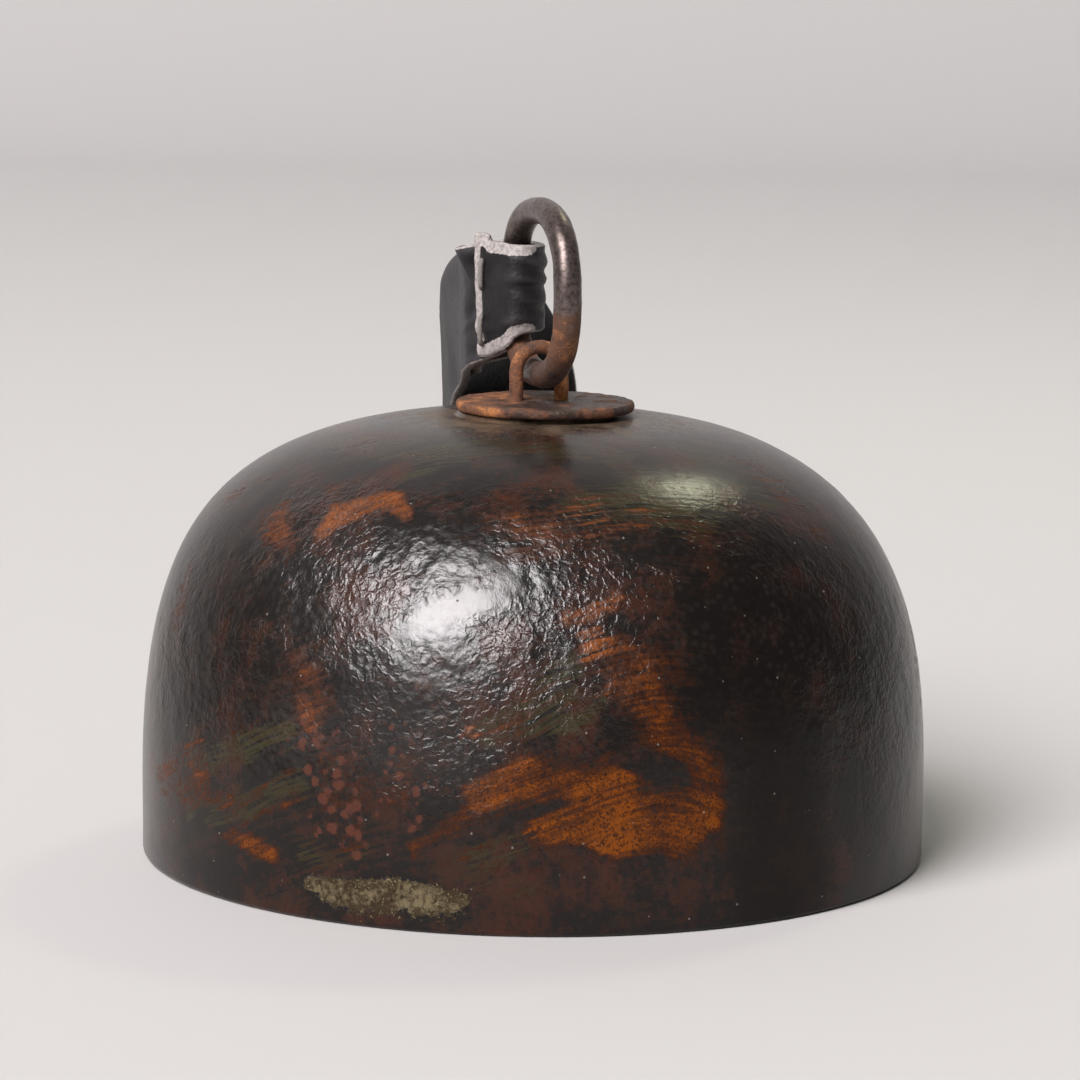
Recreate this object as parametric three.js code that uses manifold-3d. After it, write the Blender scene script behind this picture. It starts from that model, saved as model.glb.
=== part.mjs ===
// Hand bell: a squat cast dome that stands mouth-down on its rim, hung from an iron staple,
// a forged ring and a folded leather strap, with a clapper that swings inside.
// Millimetres and degrees. +Z is up, the rim stands on z = 0 and the bell's axis is the Z axis.
// The camera of the reference picture looks along +Y.

import * as THREE from 'three';
import { mergeVertices } from 'three/addons/utils/BufferGeometryUtils.js';
import Module from 'manifold-3d';

// Bell
const bellRadius = 50;
const bellHeight = 56.2;
const sideExponent = 2.9; // how square the shoulder is, seen across
const crownExponent = 3.5; // how square the shoulder is, seen upwards
const wallThickness = 3;
const crownThickness = 3.4;
const rimRounding = 0.7;
const bellSides = 64;
const bellRings = 11;

// Crown washers, one above the crown and one below it
const washerRadius = 11.7;
const washerThickness = 1.3;
const washerOffset = 1; // the outer washer sits a little to the right of the axis
const crownFlatRadius = 12.7; // flat middle of the crown
const seatRadius = 10.2; // raised seat under the outer washer
const seatRise = 0.6;
const innerWasherRadius = 9;
const innerWasherThickness = 1;
const washerSides = 36;

// Ring and the staple that holds it
const fittingsTurn = 18; // the ring's plane, turned from the line of sight
const fittingsX = 0.1;
const ringHalfWidth = 11.1; // from the middle of the ring to the middle of its bar
const ringHalfHeight = 10.3;
const ringBarRadius = 1.75;
const ringSquareness = 2.4; // 2 is round
const ringLift = 1.6; // the stiff strap holds the ring clear of the washer
const ringSteps = 48;
const stapleRadius = 0.9;
const stapleRise = 3.4; // from the ring's bar up to the middle of the staple's top
const clinchLength = 5.5;
const loopRise = 0.4; // free end of the clapper loop, above the middle of its bend

// Clapper
const linkRadius = 0.9;
const linkPitch = 3.4; // between the centres of the link's two ends
const clapperEyeRadius = 3; // middle of the eye's bar
const clapperBarRadius = 1;
const clapperRodRadius = 1.5;
const strikerRadius = 12;
const strikerHeight = 18;
const strikerShoulder = 1.6; // flat ring round the bore at each end of the striker
const strikerWidest = 0.42; // height of the widest point, as a share of the striker's height
const strikerClearance = 2.4; // under the rod's riveted end, above the table
const rivetHeight = 1.4;
const rivetRadius = 2.6;
const collarRadius = 2.8;
const collarHeight = 1.2;

// Strap and its seam
const strapThickness = 1.35;
const threadRadius = 0.35;
const stitchPitch = 3.6;
const stitchCount = 4;

// Clearances
const seatGap = 0.05; // flat faces that rest on each other
const playGap = 0.35; // loops that move in each other, and holes round the staple
const layerGap = 0.3; // between the strap's layers, and between strap and thread

// Strap route, tab end first: middle of the strap, direction of its width, and its width.
// The tab's end faces the front left. The strap folds round the ring's far bar, falls behind
// the bell in a hand loop that stands on the table, and comes back to the seam.
const strapRoute = [
  [-8.1, 10.6, 70.2, 0, 0, 1, 16.4],
  [-6.9, 9.3, 70.3, 0, 0, 1, 16.2],
  [-5.75, 7.9, 70.5, 0, 0, 1, 14.9],
  [-4.55, 6.55, 71, 0, 0, 1, 13.3],
  [-3.15, 5.45, 71.3, 0, 0, 1, 12.2],
  [-1.65, 5.65, 71.4, 0, 0, 1, 11.7],
  [-0.45, 7.1, 71.4, 0, 0, 1, 11.4],
  [0.05, 9.2, 71.4, 0, 0, 1, 11.3],
  [-0.3, 11.4, 71.4, 0, 0, 1, 11.3],
  [-1.6, 13.1, 71.3, 0, 0, 1, 11.7],
  [-3.6, 13.7, 71, 0, 0, 1, 12.6],
  [-5.3, 13.3, 70.5, 0, 0, 1, 13.8],
  [-6.6, 12.8, 69.9, 0, 0, 1, 14.8],
  [-7.8, 13.05, 69.2, 0, 0, 1, 15.6],
  [-8.8, 14.3, 68.6, 0, 0, 1, 16],
  [-9.4, 17, 67.8, 0, 0, 1, 16.3],
  [-9.8, 20.4, 67, 0, 0, 1, 16.5],
  [-10.4, 24, 66, -0.05, 0.05, 1, 16.5],
  [-11.1, 27.6, 64.4, -0.1, 0.2, 0.97, 16.5],
  [-11.8, 31.2, 62.2, -0.1, 0.33, 0.94, 16.5],
  [-12.1, 34.8, 59.7, -0.1, 0.44, 0.89, 16.5],
  [-12.3, 38.7, 56.9, -0.08, 0.55, 0.83, 16.5],
  [-12.5, 43.4, 53.2, -0.04, 0.63, 0.77, 16.5],
  [-12.4, 48.4, 47.9, 0, 0.76, 0.65, 16.5],
  [-12.3, 53.2, 40, 0, 0.9, 0.43, 16.5],
  [-11.9, 57.4, 31, 0.1, 0.98, 0.2, 16.5],
  [-10.5, 61.2, 22, 0.45, 0.88, 0.1, 16.5],
  [-7.8, 64.8, 14.5, 0.8, 0.58, 0, 16.5],
  [-5, 67.6, 8.4, 0.97, 0.25, 0, 16.5],
  [-3, 68.8, 3.9, 1, 0.05, 0, 16.5],
  [-2.2, 66.6, 1.3, 1, 0, 0, 16.5],
  [-2, 63.2, 1, 1, 0, 0, 16.5],
  [-2, 59.8, 1.7, 1, 0, 0, 16.5],
  [-2, 57.2, 4.5, 1, 0, 0, 16.5],
  [-2, 55.7, 9.2, 1, 0, 0, 16.5],
  [-2, 54.8, 15.5, 1, 0, 0, 16.5],
  [-2, 54.2, 22.5, 1, 0, 0, 16.5],
  [-2, 53.2, 30, 1, 0, 0, 16.5],
  [-2, 51, 38, 1, 0, 0, 16.5],
  [-2.2, 47.4, 45, 1, 0, 0.08, 16.5],
  [-2.5, 42.9, 51, 0.96, 0, 0.25, 16.5],
  [-2.9, 39.2, 55, 0.9, 0, 0.43, 16.5],
  [-3.6, 35.6, 58.5, 0.75, 0, 0.66, 16.5],
  [-4.6, 32.2, 61.6, 0.5, 0, 0.87, 16.5],
  [-6, 29, 64.2, 0.25, 0, 0.97, 16.5],
  [-7.3, 25.8, 66.1, 0, 0, 1, 16.5],
  [-8, 22.4, 67.3, 0, 0, 1, 16.5],
  [-7.95, 19.6, 68.1, 0, 0, 1, 16.3],
  [-7.4, 17.4, 68.6, 0, 0, 1, 16],
  [-6.4, 16.1, 68.9, 0, 0, 1, 15.7],
  [-5, 15.65, 69.1, 0, 0, 1, 15.3],
  [-3.4, 15.65, 69.3, 0, 0, 1, 15],
];
const strapSteps = 110;
// The seam: a point on the tab's middle, the way through the layers, and how far the last one is.
const seam = { x: -7.2, y: 9.6, z: 69.4, acrossX: 0.28, acrossY: 0.96, depth: 6.38 };

// Sizes that follow from the ones above
const turn = THREE.MathUtils.degToRad(fittingsTurn);
const crownFlatZ = crownLine(crownFlatRadius, bellRadius, bellHeight);
const seatZ = crownFlatZ + seatRise;
const washerTopZ = seatZ + seatGap + washerThickness;
const innerCrownZ = crownFlatZ - crownThickness;
const innerWasherBottomZ = innerCrownZ - seatGap - innerWasherThickness;
const ringBarZ = washerTopZ + ringLift + ringBarRadius;
const stapleHalfWidth = ringBarRadius + playGap + stapleRadius;
const stapleHoleRadius = stapleRadius + playGap;
const clinchZ = innerWasherBottomZ - playGap - stapleRadius;
const linkHalfWidth = Math.max(stapleRadius, clapperBarRadius) + playGap + linkRadius;
const clapperLoopZ = clinchZ - stapleRadius - playGap * 2 - loopRise - stapleRadius;
const linkTopZ = clapperLoopZ - stapleHalfWidth;
const clapperPivotZ = linkTopZ - linkPitch - linkHalfWidth;
const clapperEyeZ = clapperPivotZ + linkRadius + playGap + clapperBarRadius - clapperEyeRadius;
const rodEndZ = strikerClearance;
const strikerBottomZ = rodEndZ + rivetHeight + seatGap;
const strikerTopZ = strikerBottomZ + strikerHeight;

const finishes = {
  lacqueredBell: new THREE.MeshStandardMaterial({ color: 0x33180f, roughness: 0.35, metalness: 0.4 }),
  rustyIron: new THREE.MeshStandardMaterial({ color: 0x6d432c, roughness: 0.8, metalness: 0.4 }),
  forgedIron: new THREE.MeshStandardMaterial({ color: 0x3b2620, roughness: 0.4, metalness: 0.7 }),
  innerIron: new THREE.MeshStandardMaterial({ color: 0x4b3a30, roughness: 0.7, metalness: 0.6 }),
  blackLeather: new THREE.MeshStandardMaterial({ color: 0x26242a, roughness: 0.6, metalness: 0 }),
  waxedThread: new THREE.MeshStandardMaterial({ color: 0x17161a, roughness: 0.7, metalness: 0 }),
};

const wasm = await Module();
wasm.setup();

// Height of the dome's outline at a distance from the axis.
function crownLine(radius, outerRadius, height) {
  const share = 1 - (radius / outerRadius) ** sideExponent;
  return height * share ** (1 / crownExponent);
}

// Points of the dome's outline from the rim up to the flat seat under the washer.
function domeOutline(outerRadius, height, innermost, rings) {
  const points = [];
  const lowest = Math.asin((crownLine(innermost, outerRadius, height) / height) ** (crownExponent / 2));
  for (let i = 0; i <= rings; i++) {
    const angle = lowest * i / rings;
    const radius = outerRadius * Math.cos(angle) ** (2 / sideExponent);
    const z = height * Math.sin(angle) ** (2 / crownExponent);
    points.push(new THREE.Vector2(radius, z));
  }
  return points;
}

// A lathe turned about Z, from a closed outline of radius and height.
function turned(points, sides) {
  const geometry = new THREE.LatheGeometry(points, sides);
  geometry.rotateX(Math.PI / 2);
  return geometry;
}

function solidOf(geometry) {
  const bare = geometry.index ? geometry.toNonIndexed() : geometry.clone();
  bare.deleteAttribute('normal');
  bare.deleteAttribute('uv');
  const merged = mergeVertices(bare, 1e-4);
  return new wasm.Manifold(new wasm.Mesh({
    numProp: 3,
    vertProperties: new Float32Array(merged.attributes.position.array),
    triVerts: new Uint32Array(merged.index.array),
  }));
}

function geometryOf(solid) {
  const mesh = solid.getMesh();
  const geometry = new THREE.BufferGeometry();
  geometry.setAttribute('position', new THREE.BufferAttribute(new Float32Array(mesh.vertProperties), 3));
  geometry.setIndex(new THREE.BufferAttribute(new Uint32Array(mesh.triVerts), 1));
  geometry.computeVertexNormals();
  return geometry;
}

// A straight drill from one point to another, as a solid.
function drill(from, to, radius, sides) {
  const along = to.clone().sub(from);
  const geometry = new THREE.CylinderGeometry(radius, radius, along.length(), sides);
  const upright = new THREE.Vector3(0, 1, 0);
  geometry.applyQuaternion(new THREE.Quaternion().setFromUnitVectors(upright, along.normalize()));
  const middle = from.clone().add(to).multiplyScalar(0.5);
  geometry.translate(middle.x, middle.y, middle.z);
  return solidOf(geometry);
}

// The two holes that the staple's legs pass through.
function drilledForStaple(geometry) {
  let solid = solidOf(geometry);
  for (const side of [-1, 1]) {
    const x = fittingsX + side * stapleHalfWidth * Math.cos(turn);
    const y = side * stapleHalfWidth * Math.sin(turn);
    const low = new THREE.Vector3(x, y, innerWasherBottomZ - crownThickness);
    const high = new THREE.Vector3(x, y, washerTopZ + crownThickness);
    solid = solid.subtract(drill(low, high, stapleHoleRadius, 20));
  }
  return geometryOf(solid);
}

// A round bar swept along a list of points that closes on itself.
// across(i) gives the direction, square to the path, in which each section starts.
function closedBar(points, across, radius, sides) {
  const positions = [];
  const indices = [];
  const count = points.length;
  for (let i = 0; i < count; i++) {
    const ahead = points[(i + 1) % count];
    const behind = points[(i + count - 1) % count];
    const along = ahead.clone().sub(behind).normalize();
    const first = across.clone().normalize();
    const second = along.clone().cross(first).normalize();
    for (let j = 0; j < sides; j++) {
      const angle = 2 * Math.PI * j / sides;
      const point = points[i].clone();
      point.addScaledVector(first, radius * Math.cos(angle));
      point.addScaledVector(second, radius * Math.sin(angle));
      positions.push(point.x, point.y, point.z);
    }
  }
  for (let i = 0; i < count; i++) {
    for (let j = 0; j < sides; j++) {
      const a = i * sides + j;
      const b = i * sides + (j + 1) % sides;
      const c = ((i + 1) % count) * sides + (j + 1) % sides;
      const d = ((i + 1) % count) * sides + j;
      indices.push(a, b, c, a, c, d);
    }
  }
  const geometry = new THREE.BufferGeometry();
  geometry.setAttribute('position', new THREE.Float32BufferAttribute(positions, 3));
  geometry.setIndex(indices);
  geometry.computeVertexNormals();
  return geometry;
}

// A round bar swept along an open curve.
function openBar(curve, radius, steps, sides) {
  const section = new THREE.Shape();
  for (let j = 0; j < sides; j++) {
    const angle = 2 * Math.PI * j / sides;
    const x = radius * Math.cos(angle);
    const y = radius * Math.sin(angle);
    if (j === 0) section.moveTo(x, y);
    else section.lineTo(x, y);
  }
  section.closePath();
  return new THREE.ExtrudeGeometry(section, { extrudePath: curve, steps, bevelEnabled: false });
}

// A path of straight runs whose corners are rounded off at the given distance.
function roundedPath(corners, rounding) {
  const path = new THREE.CurvePath();
  let from = corners[0];
  for (let i = 1; i < corners.length - 1; i++) {
    const before = corners[i].clone().sub(corners[i - 1]).normalize();
    const after = corners[i + 1].clone().sub(corners[i]).normalize();
    const entry = corners[i].clone().addScaledVector(before, -rounding);
    const exit = corners[i].clone().addScaledVector(after, rounding);
    path.add(new THREE.LineCurve3(from, entry));
    path.add(new THREE.QuadraticBezierCurve3(entry, corners[i], exit));
    from = exit;
  }
  path.add(new THREE.LineCurve3(from, corners[corners.length - 1]));
  return path;
}

function bellDome() {
  const outer = domeOutline(bellRadius, bellHeight, crownFlatRadius, bellRings);
  const innerSeat = crownFlatRadius - wallThickness;
  const innerRadius = bellRadius - wallThickness;
  const innerHeight = innerCrownZ / crownLine(innerSeat, innerRadius, 1);
  const inner = domeOutline(innerRadius, innerHeight, innerSeat, bellRings);
  const outline = [new THREE.Vector2(0, innerCrownZ)];
  outline.push(...inner.reverse().slice(0, -1));
  outline.push(new THREE.Vector2(innerRadius, rimRounding));
  outline.push(new THREE.Vector2(innerRadius + rimRounding * 0.3, rimRounding * 0.3));
  outline.push(new THREE.Vector2(innerRadius + rimRounding, 0));
  outline.push(new THREE.Vector2(bellRadius - rimRounding, 0));
  outline.push(new THREE.Vector2(bellRadius - rimRounding * 0.3, rimRounding * 0.3));
  outline.push(new THREE.Vector2(bellRadius, rimRounding));
  outline.push(...outer.slice(1));
  outline.push(new THREE.Vector2(seatRadius, crownFlatZ));
  outline.push(new THREE.Vector2(seatRadius - seatRise / 2, seatZ));
  outline.push(new THREE.Vector2(0, seatZ));
  return drilledForStaple(turned(outline, bellSides));
}

function washer(radius, thickness, x, bottomZ) {
  const bevel = thickness / 4;
  const outline = [
    new THREE.Vector2(0, 0),
    new THREE.Vector2(radius - bevel, 0),
    new THREE.Vector2(radius, bevel),
    new THREE.Vector2(radius, thickness - bevel),
    new THREE.Vector2(radius - bevel, thickness),
    new THREE.Vector2(0, thickness),
  ];
  const geometry = turned(outline, washerSides);
  geometry.translate(x, 0, bottomZ);
  return drilledForStaple(geometry);
}

// The staple lies in its own X and Z plane. It starts at the clinched end, runs up through the
// crown, over the ring's bar and down again, and ends in the loop that the clapper hangs from.
function hangerStaple() {
  const half = stapleHalfWidth;
  const topZ = ringBarZ + stapleRise;
  const point = (x, z) => new THREE.Vector3(x, 0, z);
  const path = new THREE.CurvePath();
  const bend = stapleRadius * 1.3;
  path.add(new THREE.LineCurve3(point(-half - clinchLength, clinchZ), point(-half - bend, clinchZ)));
  path.add(new THREE.QuadraticBezierCurve3(
    point(-half - bend, clinchZ), point(-half, clinchZ), point(-half, clinchZ + bend)));
  path.add(new THREE.LineCurve3(point(-half, clinchZ + bend), point(-half, topZ - half)));
  const arc = (centreZ, fromAngle, toAngle) => {
    const points = [];
    for (let i = 0; i <= 10; i++) {
      const angle = fromAngle + (toAngle - fromAngle) * i / 10;
      points.push(point(half * Math.cos(angle), centreZ + half * Math.sin(angle)));
    }
    return points;
  };
  const joined = (points) => {
    for (let i = 1; i < points.length; i++) path.add(new THREE.LineCurve3(points[i - 1], points[i]));
  };
  joined(arc(topZ - half, Math.PI, 0));
  path.add(new THREE.LineCurve3(point(half, topZ - half), point(half, clapperLoopZ)));
  joined(arc(clapperLoopZ, 0, -Math.PI));
  path.add(new THREE.LineCurve3(point(-half, clapperLoopZ), point(-half, clapperLoopZ + loopRise)));
  return openBar(path, stapleRadius, 80, 8);
}

// The ring stands in its own Y and Z plane, its lowest bar inside the staple.
function carryingRing() {
  const points = [];
  const centreZ = ringBarZ + ringHalfHeight;
  const shaped = (value) => Math.sign(value) * Math.abs(value) ** (2 / ringSquareness);
  const curve = [];
  for (let i = 0; i < ringSteps * 20; i++) {
    const angle = 2 * Math.PI * i / (ringSteps * 20);
    const y = ringHalfWidth * shaped(Math.cos(angle));
    const z = centreZ + ringHalfHeight * shaped(Math.sin(angle));
    curve.push(new THREE.Vector3(0, y, z));
  }
  const even = new THREE.CatmullRomCurve3(curve, true).getSpacedPoints(ringSteps);
  points.push(...even.slice(0, -1));
  return closedBar(points, new THREE.Vector3(1, 0, 0), ringBarRadius, 10);
}

// An oval link in its own Y and Z plane, between the staple's loop and the clapper's eye.
function clapperLink() {
  const points = [];
  for (const end of [0, 1]) {
    for (let i = 0; i <= 10; i++) {
      const angle = Math.PI * (end + i / 10);
      const z = linkTopZ - end * linkPitch + linkHalfWidth * Math.sin(angle);
      points.push(new THREE.Vector3(0, linkHalfWidth * Math.cos(angle), z));
    }
  }
  return closedBar(points, new THREE.Vector3(1, 0, 0), linkRadius, 8);
}

// The clapper's rod: an eye, a tapered rod, a collar above the striker and a riveted end below it.
function clapperRod() {
  const eye = [];
  for (let i = 0; i < 24; i++) {
    const angle = 2 * Math.PI * i / 24;
    const x = clapperEyeRadius * Math.cos(angle);
    eye.push(new THREE.Vector3(x, 0, clapperEyeZ + clapperEyeRadius * Math.sin(angle)));
  }
  const ring = solidOf(closedBar(eye, new THREE.Vector3(0, 1, 0), clapperBarRadius, 8));
  const neckZ = clapperEyeZ - clapperEyeRadius;
  const collarZ = strikerTopZ + seatGap;
  const outline = [
    new THREE.Vector2(0, rodEndZ),
    new THREE.Vector2(rivetRadius * 0.7, rodEndZ),
    new THREE.Vector2(rivetRadius, rodEndZ + rivetHeight * 0.4),
    new THREE.Vector2(rivetRadius, rodEndZ + rivetHeight),
    new THREE.Vector2(clapperRodRadius, rodEndZ + rivetHeight),
    new THREE.Vector2(clapperRodRadius, collarZ),
    new THREE.Vector2(collarRadius, collarZ),
    new THREE.Vector2(collarRadius, collarZ + collarHeight * 0.6),
    new THREE.Vector2(clapperRodRadius, collarZ + collarHeight),
    new THREE.Vector2(clapperBarRadius, neckZ),
    new THREE.Vector2(0, neckZ),
  ];
  return geometryOf(ring.add(solidOf(turned(outline, 16))));
}

// A pear-shaped striker, bored for the rod.
function clapperStriker() {
  const bore = clapperRodRadius + playGap / 2;
  const endRadius = bore + strikerShoulder;
  const outline = [new THREE.Vector2(bore, strikerBottomZ)];
  for (let i = 0; i <= 12; i++) {
    const share = (1 - Math.cos(Math.PI * i / 12)) / 2;
    const below = (strikerWidest - share) / strikerWidest;
    const above = (share - strikerWidest) / (1 - strikerWidest);
    const reach = Math.max(below, above);
    const radius = endRadius + (strikerRadius - endRadius) * Math.sqrt(1 - reach ** 2);
    outline.push(new THREE.Vector2(radius, strikerBottomZ + strikerHeight * share));
  }
  outline.push(new THREE.Vector2(bore, strikerTopZ));
  outline.push(new THREE.Vector2(bore, strikerBottomZ));
  return turned(outline, 20);
}

// Middle, width direction and thickness direction of the strap at each step of its route.
function strapFrames() {
  const middles = strapRoute.map(([x, y, z]) => new THREE.Vector3(x, y, z));
  const curve = new THREE.CatmullRomCurve3(middles, false, 'centripetal');
  const frames = [];
  for (let i = 0; i <= strapSteps; i++) {
    const t = curve.getUtoTmapping(i / strapSteps);
    const place = t * (strapRoute.length - 1);
    const near = Math.min(Math.floor(place), strapRoute.length - 2);
    const share = place - near;
    const mix = (k) => strapRoute[near][k] * (1 - share) + strapRoute[near + 1][k] * share;
    const along = curve.getTangent(t);
    const wide = new THREE.Vector3(mix(3), mix(4), mix(5));
    wide.addScaledVector(along, -wide.dot(along)).normalize();
    const thick = along.clone().cross(wide).normalize();
    frames.push({ middle: curve.getPoint(t), wide, thick, width: mix(6) });
  }
  return frames;
}

// Holes for the stitches, in a row across the strap.
function stitchHeights() {
  const heights = [];
  for (let i = 0; i < stitchCount; i++) heights.push(seam.z + (i - (stitchCount - 1) / 2) * stitchPitch);
  return heights;
}

// A point on the seam, at a distance across the layers from the tab's middle.
function seamPoint(across, z) {
  return new THREE.Vector3(seam.x + seam.acrossX * across, seam.y + seam.acrossY * across, z);
}

function leatherStrap() {
  const frames = strapFrames();
  const positions = [];
  const indices = [];
  const corners = [[-1, -1], [1, -1], [1, 1], [-1, 1]];
  for (const { middle, wide, thick, width } of frames) {
    for (const [w, t] of corners) {
      const point = middle.clone().addScaledVector(wide, w * width / 2);
      point.addScaledVector(thick, t * strapThickness / 2);
      positions.push(point.x, point.y, point.z);
    }
  }
  for (let i = 0; i < frames.length - 1; i++) {
    for (let j = 0; j < 4; j++) {
      const a = i * 4 + j;
      const b = i * 4 + (j + 1) % 4;
      indices.push(a, b + 4, a + 4, a, b, b + 4);
    }
  }
  const last = (frames.length - 1) * 4;
  indices.push(0, 2, 1, 0, 3, 2);
  indices.push(last, last + 1, last + 2, last, last + 2, last + 3);
  const geometry = new THREE.BufferGeometry();
  geometry.setAttribute('position', new THREE.Float32BufferAttribute(positions, 3));
  geometry.setIndex(indices);
  let solid = solidOf(geometry);
  for (const z of stitchHeights()) {
    const from = seamPoint(-strapThickness, z);
    const to = seamPoint(seam.depth + strapThickness, z);
    solid = solid.subtract(drill(from, to, threadRadius + layerGap, 10));
  }
  return geometryOf(solid);
}

// A running stitch of one thread through the three layers, with both ends on the hidden side.
function strapThread() {
  const front = -strapThickness / 2 - layerGap - threadRadius;
  const back = seam.depth + strapThickness / 2 + layerGap + threadRadius;
  const heights = stitchHeights();
  const tail = 0.6;
  const corners = [seamPoint(back + tail, heights[0])];
  heights.forEach((z, i) => {
    const outward = i % 2 === 0;
    if (i > 0) corners.push(seamPoint(outward ? back : front, z));
    if (i < heights.length - 1) corners.push(seamPoint(outward ? front : back, z));
  });
  corners.push(seamPoint(back + tail, heights[heights.length - 1]));
  return openBar(roundedPath(corners, threadRadius * 2), threadRadius, 70, 5);
}

function piece(name, geometry, finish) {
  const mesh = new THREE.Mesh(geometry, finish);
  mesh.name = name;
  return mesh;
}

const bell = new THREE.Group();
bell.add(piece('bell_dome', bellDome(), finishes.lacqueredBell));
bell.add(piece(
  'crown_washer',
  washer(washerRadius, washerThickness, washerOffset, seatZ + seatGap),
  finishes.rustyIron,
));
bell.add(piece(
  'inner_washer',
  washer(innerWasherRadius, innerWasherThickness, 0, innerWasherBottomZ),
  finishes.innerIron,
));
bell.add(piece('leather_strap', leatherStrap(), finishes.blackLeather));
bell.add(piece('strap_thread', strapThread(), finishes.waxedThread));

const fittings = new THREE.Group();
fittings.position.x = fittingsX;
fittings.rotation.z = turn;
fittings.add(piece('hanger_staple', hangerStaple(), finishes.rustyIron));
fittings.add(piece('carrying_ring', carryingRing(), finishes.forgedIron));
fittings.add(piece('clapper_link', clapperLink(), finishes.innerIron));
fittings.add(piece('clapper_rod', clapperRod(), finishes.innerIron));
fittings.add(piece('clapper_striker', clapperStriker(), finishes.innerIron));
bell.add(fittings);

export default bell;
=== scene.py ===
import math

import bpy
import numpy as np
from mathutils import Matrix, Vector


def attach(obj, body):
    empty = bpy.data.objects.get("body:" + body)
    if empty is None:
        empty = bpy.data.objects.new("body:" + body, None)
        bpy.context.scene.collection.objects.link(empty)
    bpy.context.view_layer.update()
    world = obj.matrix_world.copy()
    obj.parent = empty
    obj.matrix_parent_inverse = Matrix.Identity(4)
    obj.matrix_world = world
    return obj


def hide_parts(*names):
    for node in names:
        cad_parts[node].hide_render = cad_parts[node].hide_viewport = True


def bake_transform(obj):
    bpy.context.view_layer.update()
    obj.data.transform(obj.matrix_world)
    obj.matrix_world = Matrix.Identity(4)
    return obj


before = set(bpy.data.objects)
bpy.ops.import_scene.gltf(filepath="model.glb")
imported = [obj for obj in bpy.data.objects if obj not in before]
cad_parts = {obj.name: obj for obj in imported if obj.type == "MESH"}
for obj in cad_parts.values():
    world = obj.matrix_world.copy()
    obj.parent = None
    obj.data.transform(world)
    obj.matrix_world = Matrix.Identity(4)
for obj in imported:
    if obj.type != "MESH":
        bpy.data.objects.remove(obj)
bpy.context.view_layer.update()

scene = bpy.context.scene
mm = 0.001


def addObject(name, data):
    item = bpy.data.objects.new(name, data)
    scene.collection.objects.link(item)
    return item


def addMesh(name, points, faces, material):
    mesh = bpy.data.meshes.new(name)
    mesh.from_pydata(points, [], faces)
    mesh.validate()
    mesh.polygons.foreach_set("use_smooth", [True] * len(mesh.polygons))
    mesh.materials.append(material)
    return addObject(name, mesh)


# camera: it stands in front of the bell at its own height and looks a little down
camera = {
    "distance": 0.530,
    "height": 0.11764,
    "sideways": 0.00049,
    "lens": 139.895,
    "sensorWidth": 36,
    "clip": (0.01, 100),
    "pitch": 8.351,
    "roll": 0.746,
}


def makeCamera(c):
    place = Matrix.Translation((c["sideways"], -c["distance"], c["height"]))
    pitched = Matrix.Rotation(math.radians(90 - c["pitch"]), 4, "X")
    rolled = Matrix.Rotation(math.radians(c["roll"]), 4, "Z")
    data = bpy.data.cameras.new("bellCamera")
    data.lens, data.sensor_width = c["lens"], c["sensorWidth"]
    data.clip_start, data.clip_end = c["clip"]
    scene.camera = addObject("bellCamera", data)
    scene.camera.matrix_world = place @ pitched @ rolled


makeCamera(camera)
print("camera placed")


# noise that gives the same values each run
def latticeValue(i, j, k, seed):
    h = (i * 374761393 + j * 668265263 + k * 1442695041 + seed * 974634777) & 0xFFFFFFFF
    h = ((h ^ (h >> 13)) * 1274126177) & 0xFFFFFFFF
    return ((h ^ (h >> 16)) & 0xFFFF) / 65535.0


def softNoise(points, size, seed):
    p = np.asarray(points) / size + 37.3
    cell = np.floor(p).astype(np.int64)
    f = p - cell
    f = f * f * (3 - 2 * f)
    total = np.zeros(len(p))
    for corner in np.ndindex(2, 2, 2):
        share = np.prod(np.where(corner, f, 1 - f), axis=1)
        total += share * latticeValue(*(cell + corner).T, seed)
    return total


def layeredNoise(points, size, seed, layers=3):
    turn = np.array([[0.36, 0.48, -0.8], [-0.8, 0.6, 0], [0.48, 0.64, 0.6]])
    p = np.asarray(points)
    total, weight, amount = 0, 0, 1
    for n in range(layers):
        total = total + amount * softNoise(p, size, seed + n)
        weight += amount
        amount *= 0.5
        size *= 0.5
        p = p @ turn.T
    return total / weight


# the same noise about zero
def patches(points, size, seed, layers=3, amount=1):
    return (layeredNoise(points, size, seed, layers) - 0.5) * amount


def easeStep(value, low, high):
    t = np.clip((value - low) / (high - low), 0, 1)
    return t * t * (3 - 2 * t)


# an angle brought between minus and plus half a turn
def wrapped(angle):
    return (angle + math.pi) % (2 * math.pi) - math.pi


def lengthAlong(line):
    return np.r_[0, np.cumsum(np.linalg.norm(np.diff(line[:, :3], axis=0), axis=1))]


# the same line with its points at even steps
def evenly(line, count):
    along = lengthAlong(line)
    at = np.linspace(0, along[-1], count)
    return np.stack([np.interp(at, along, column) for column in line.T], 1)


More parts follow.
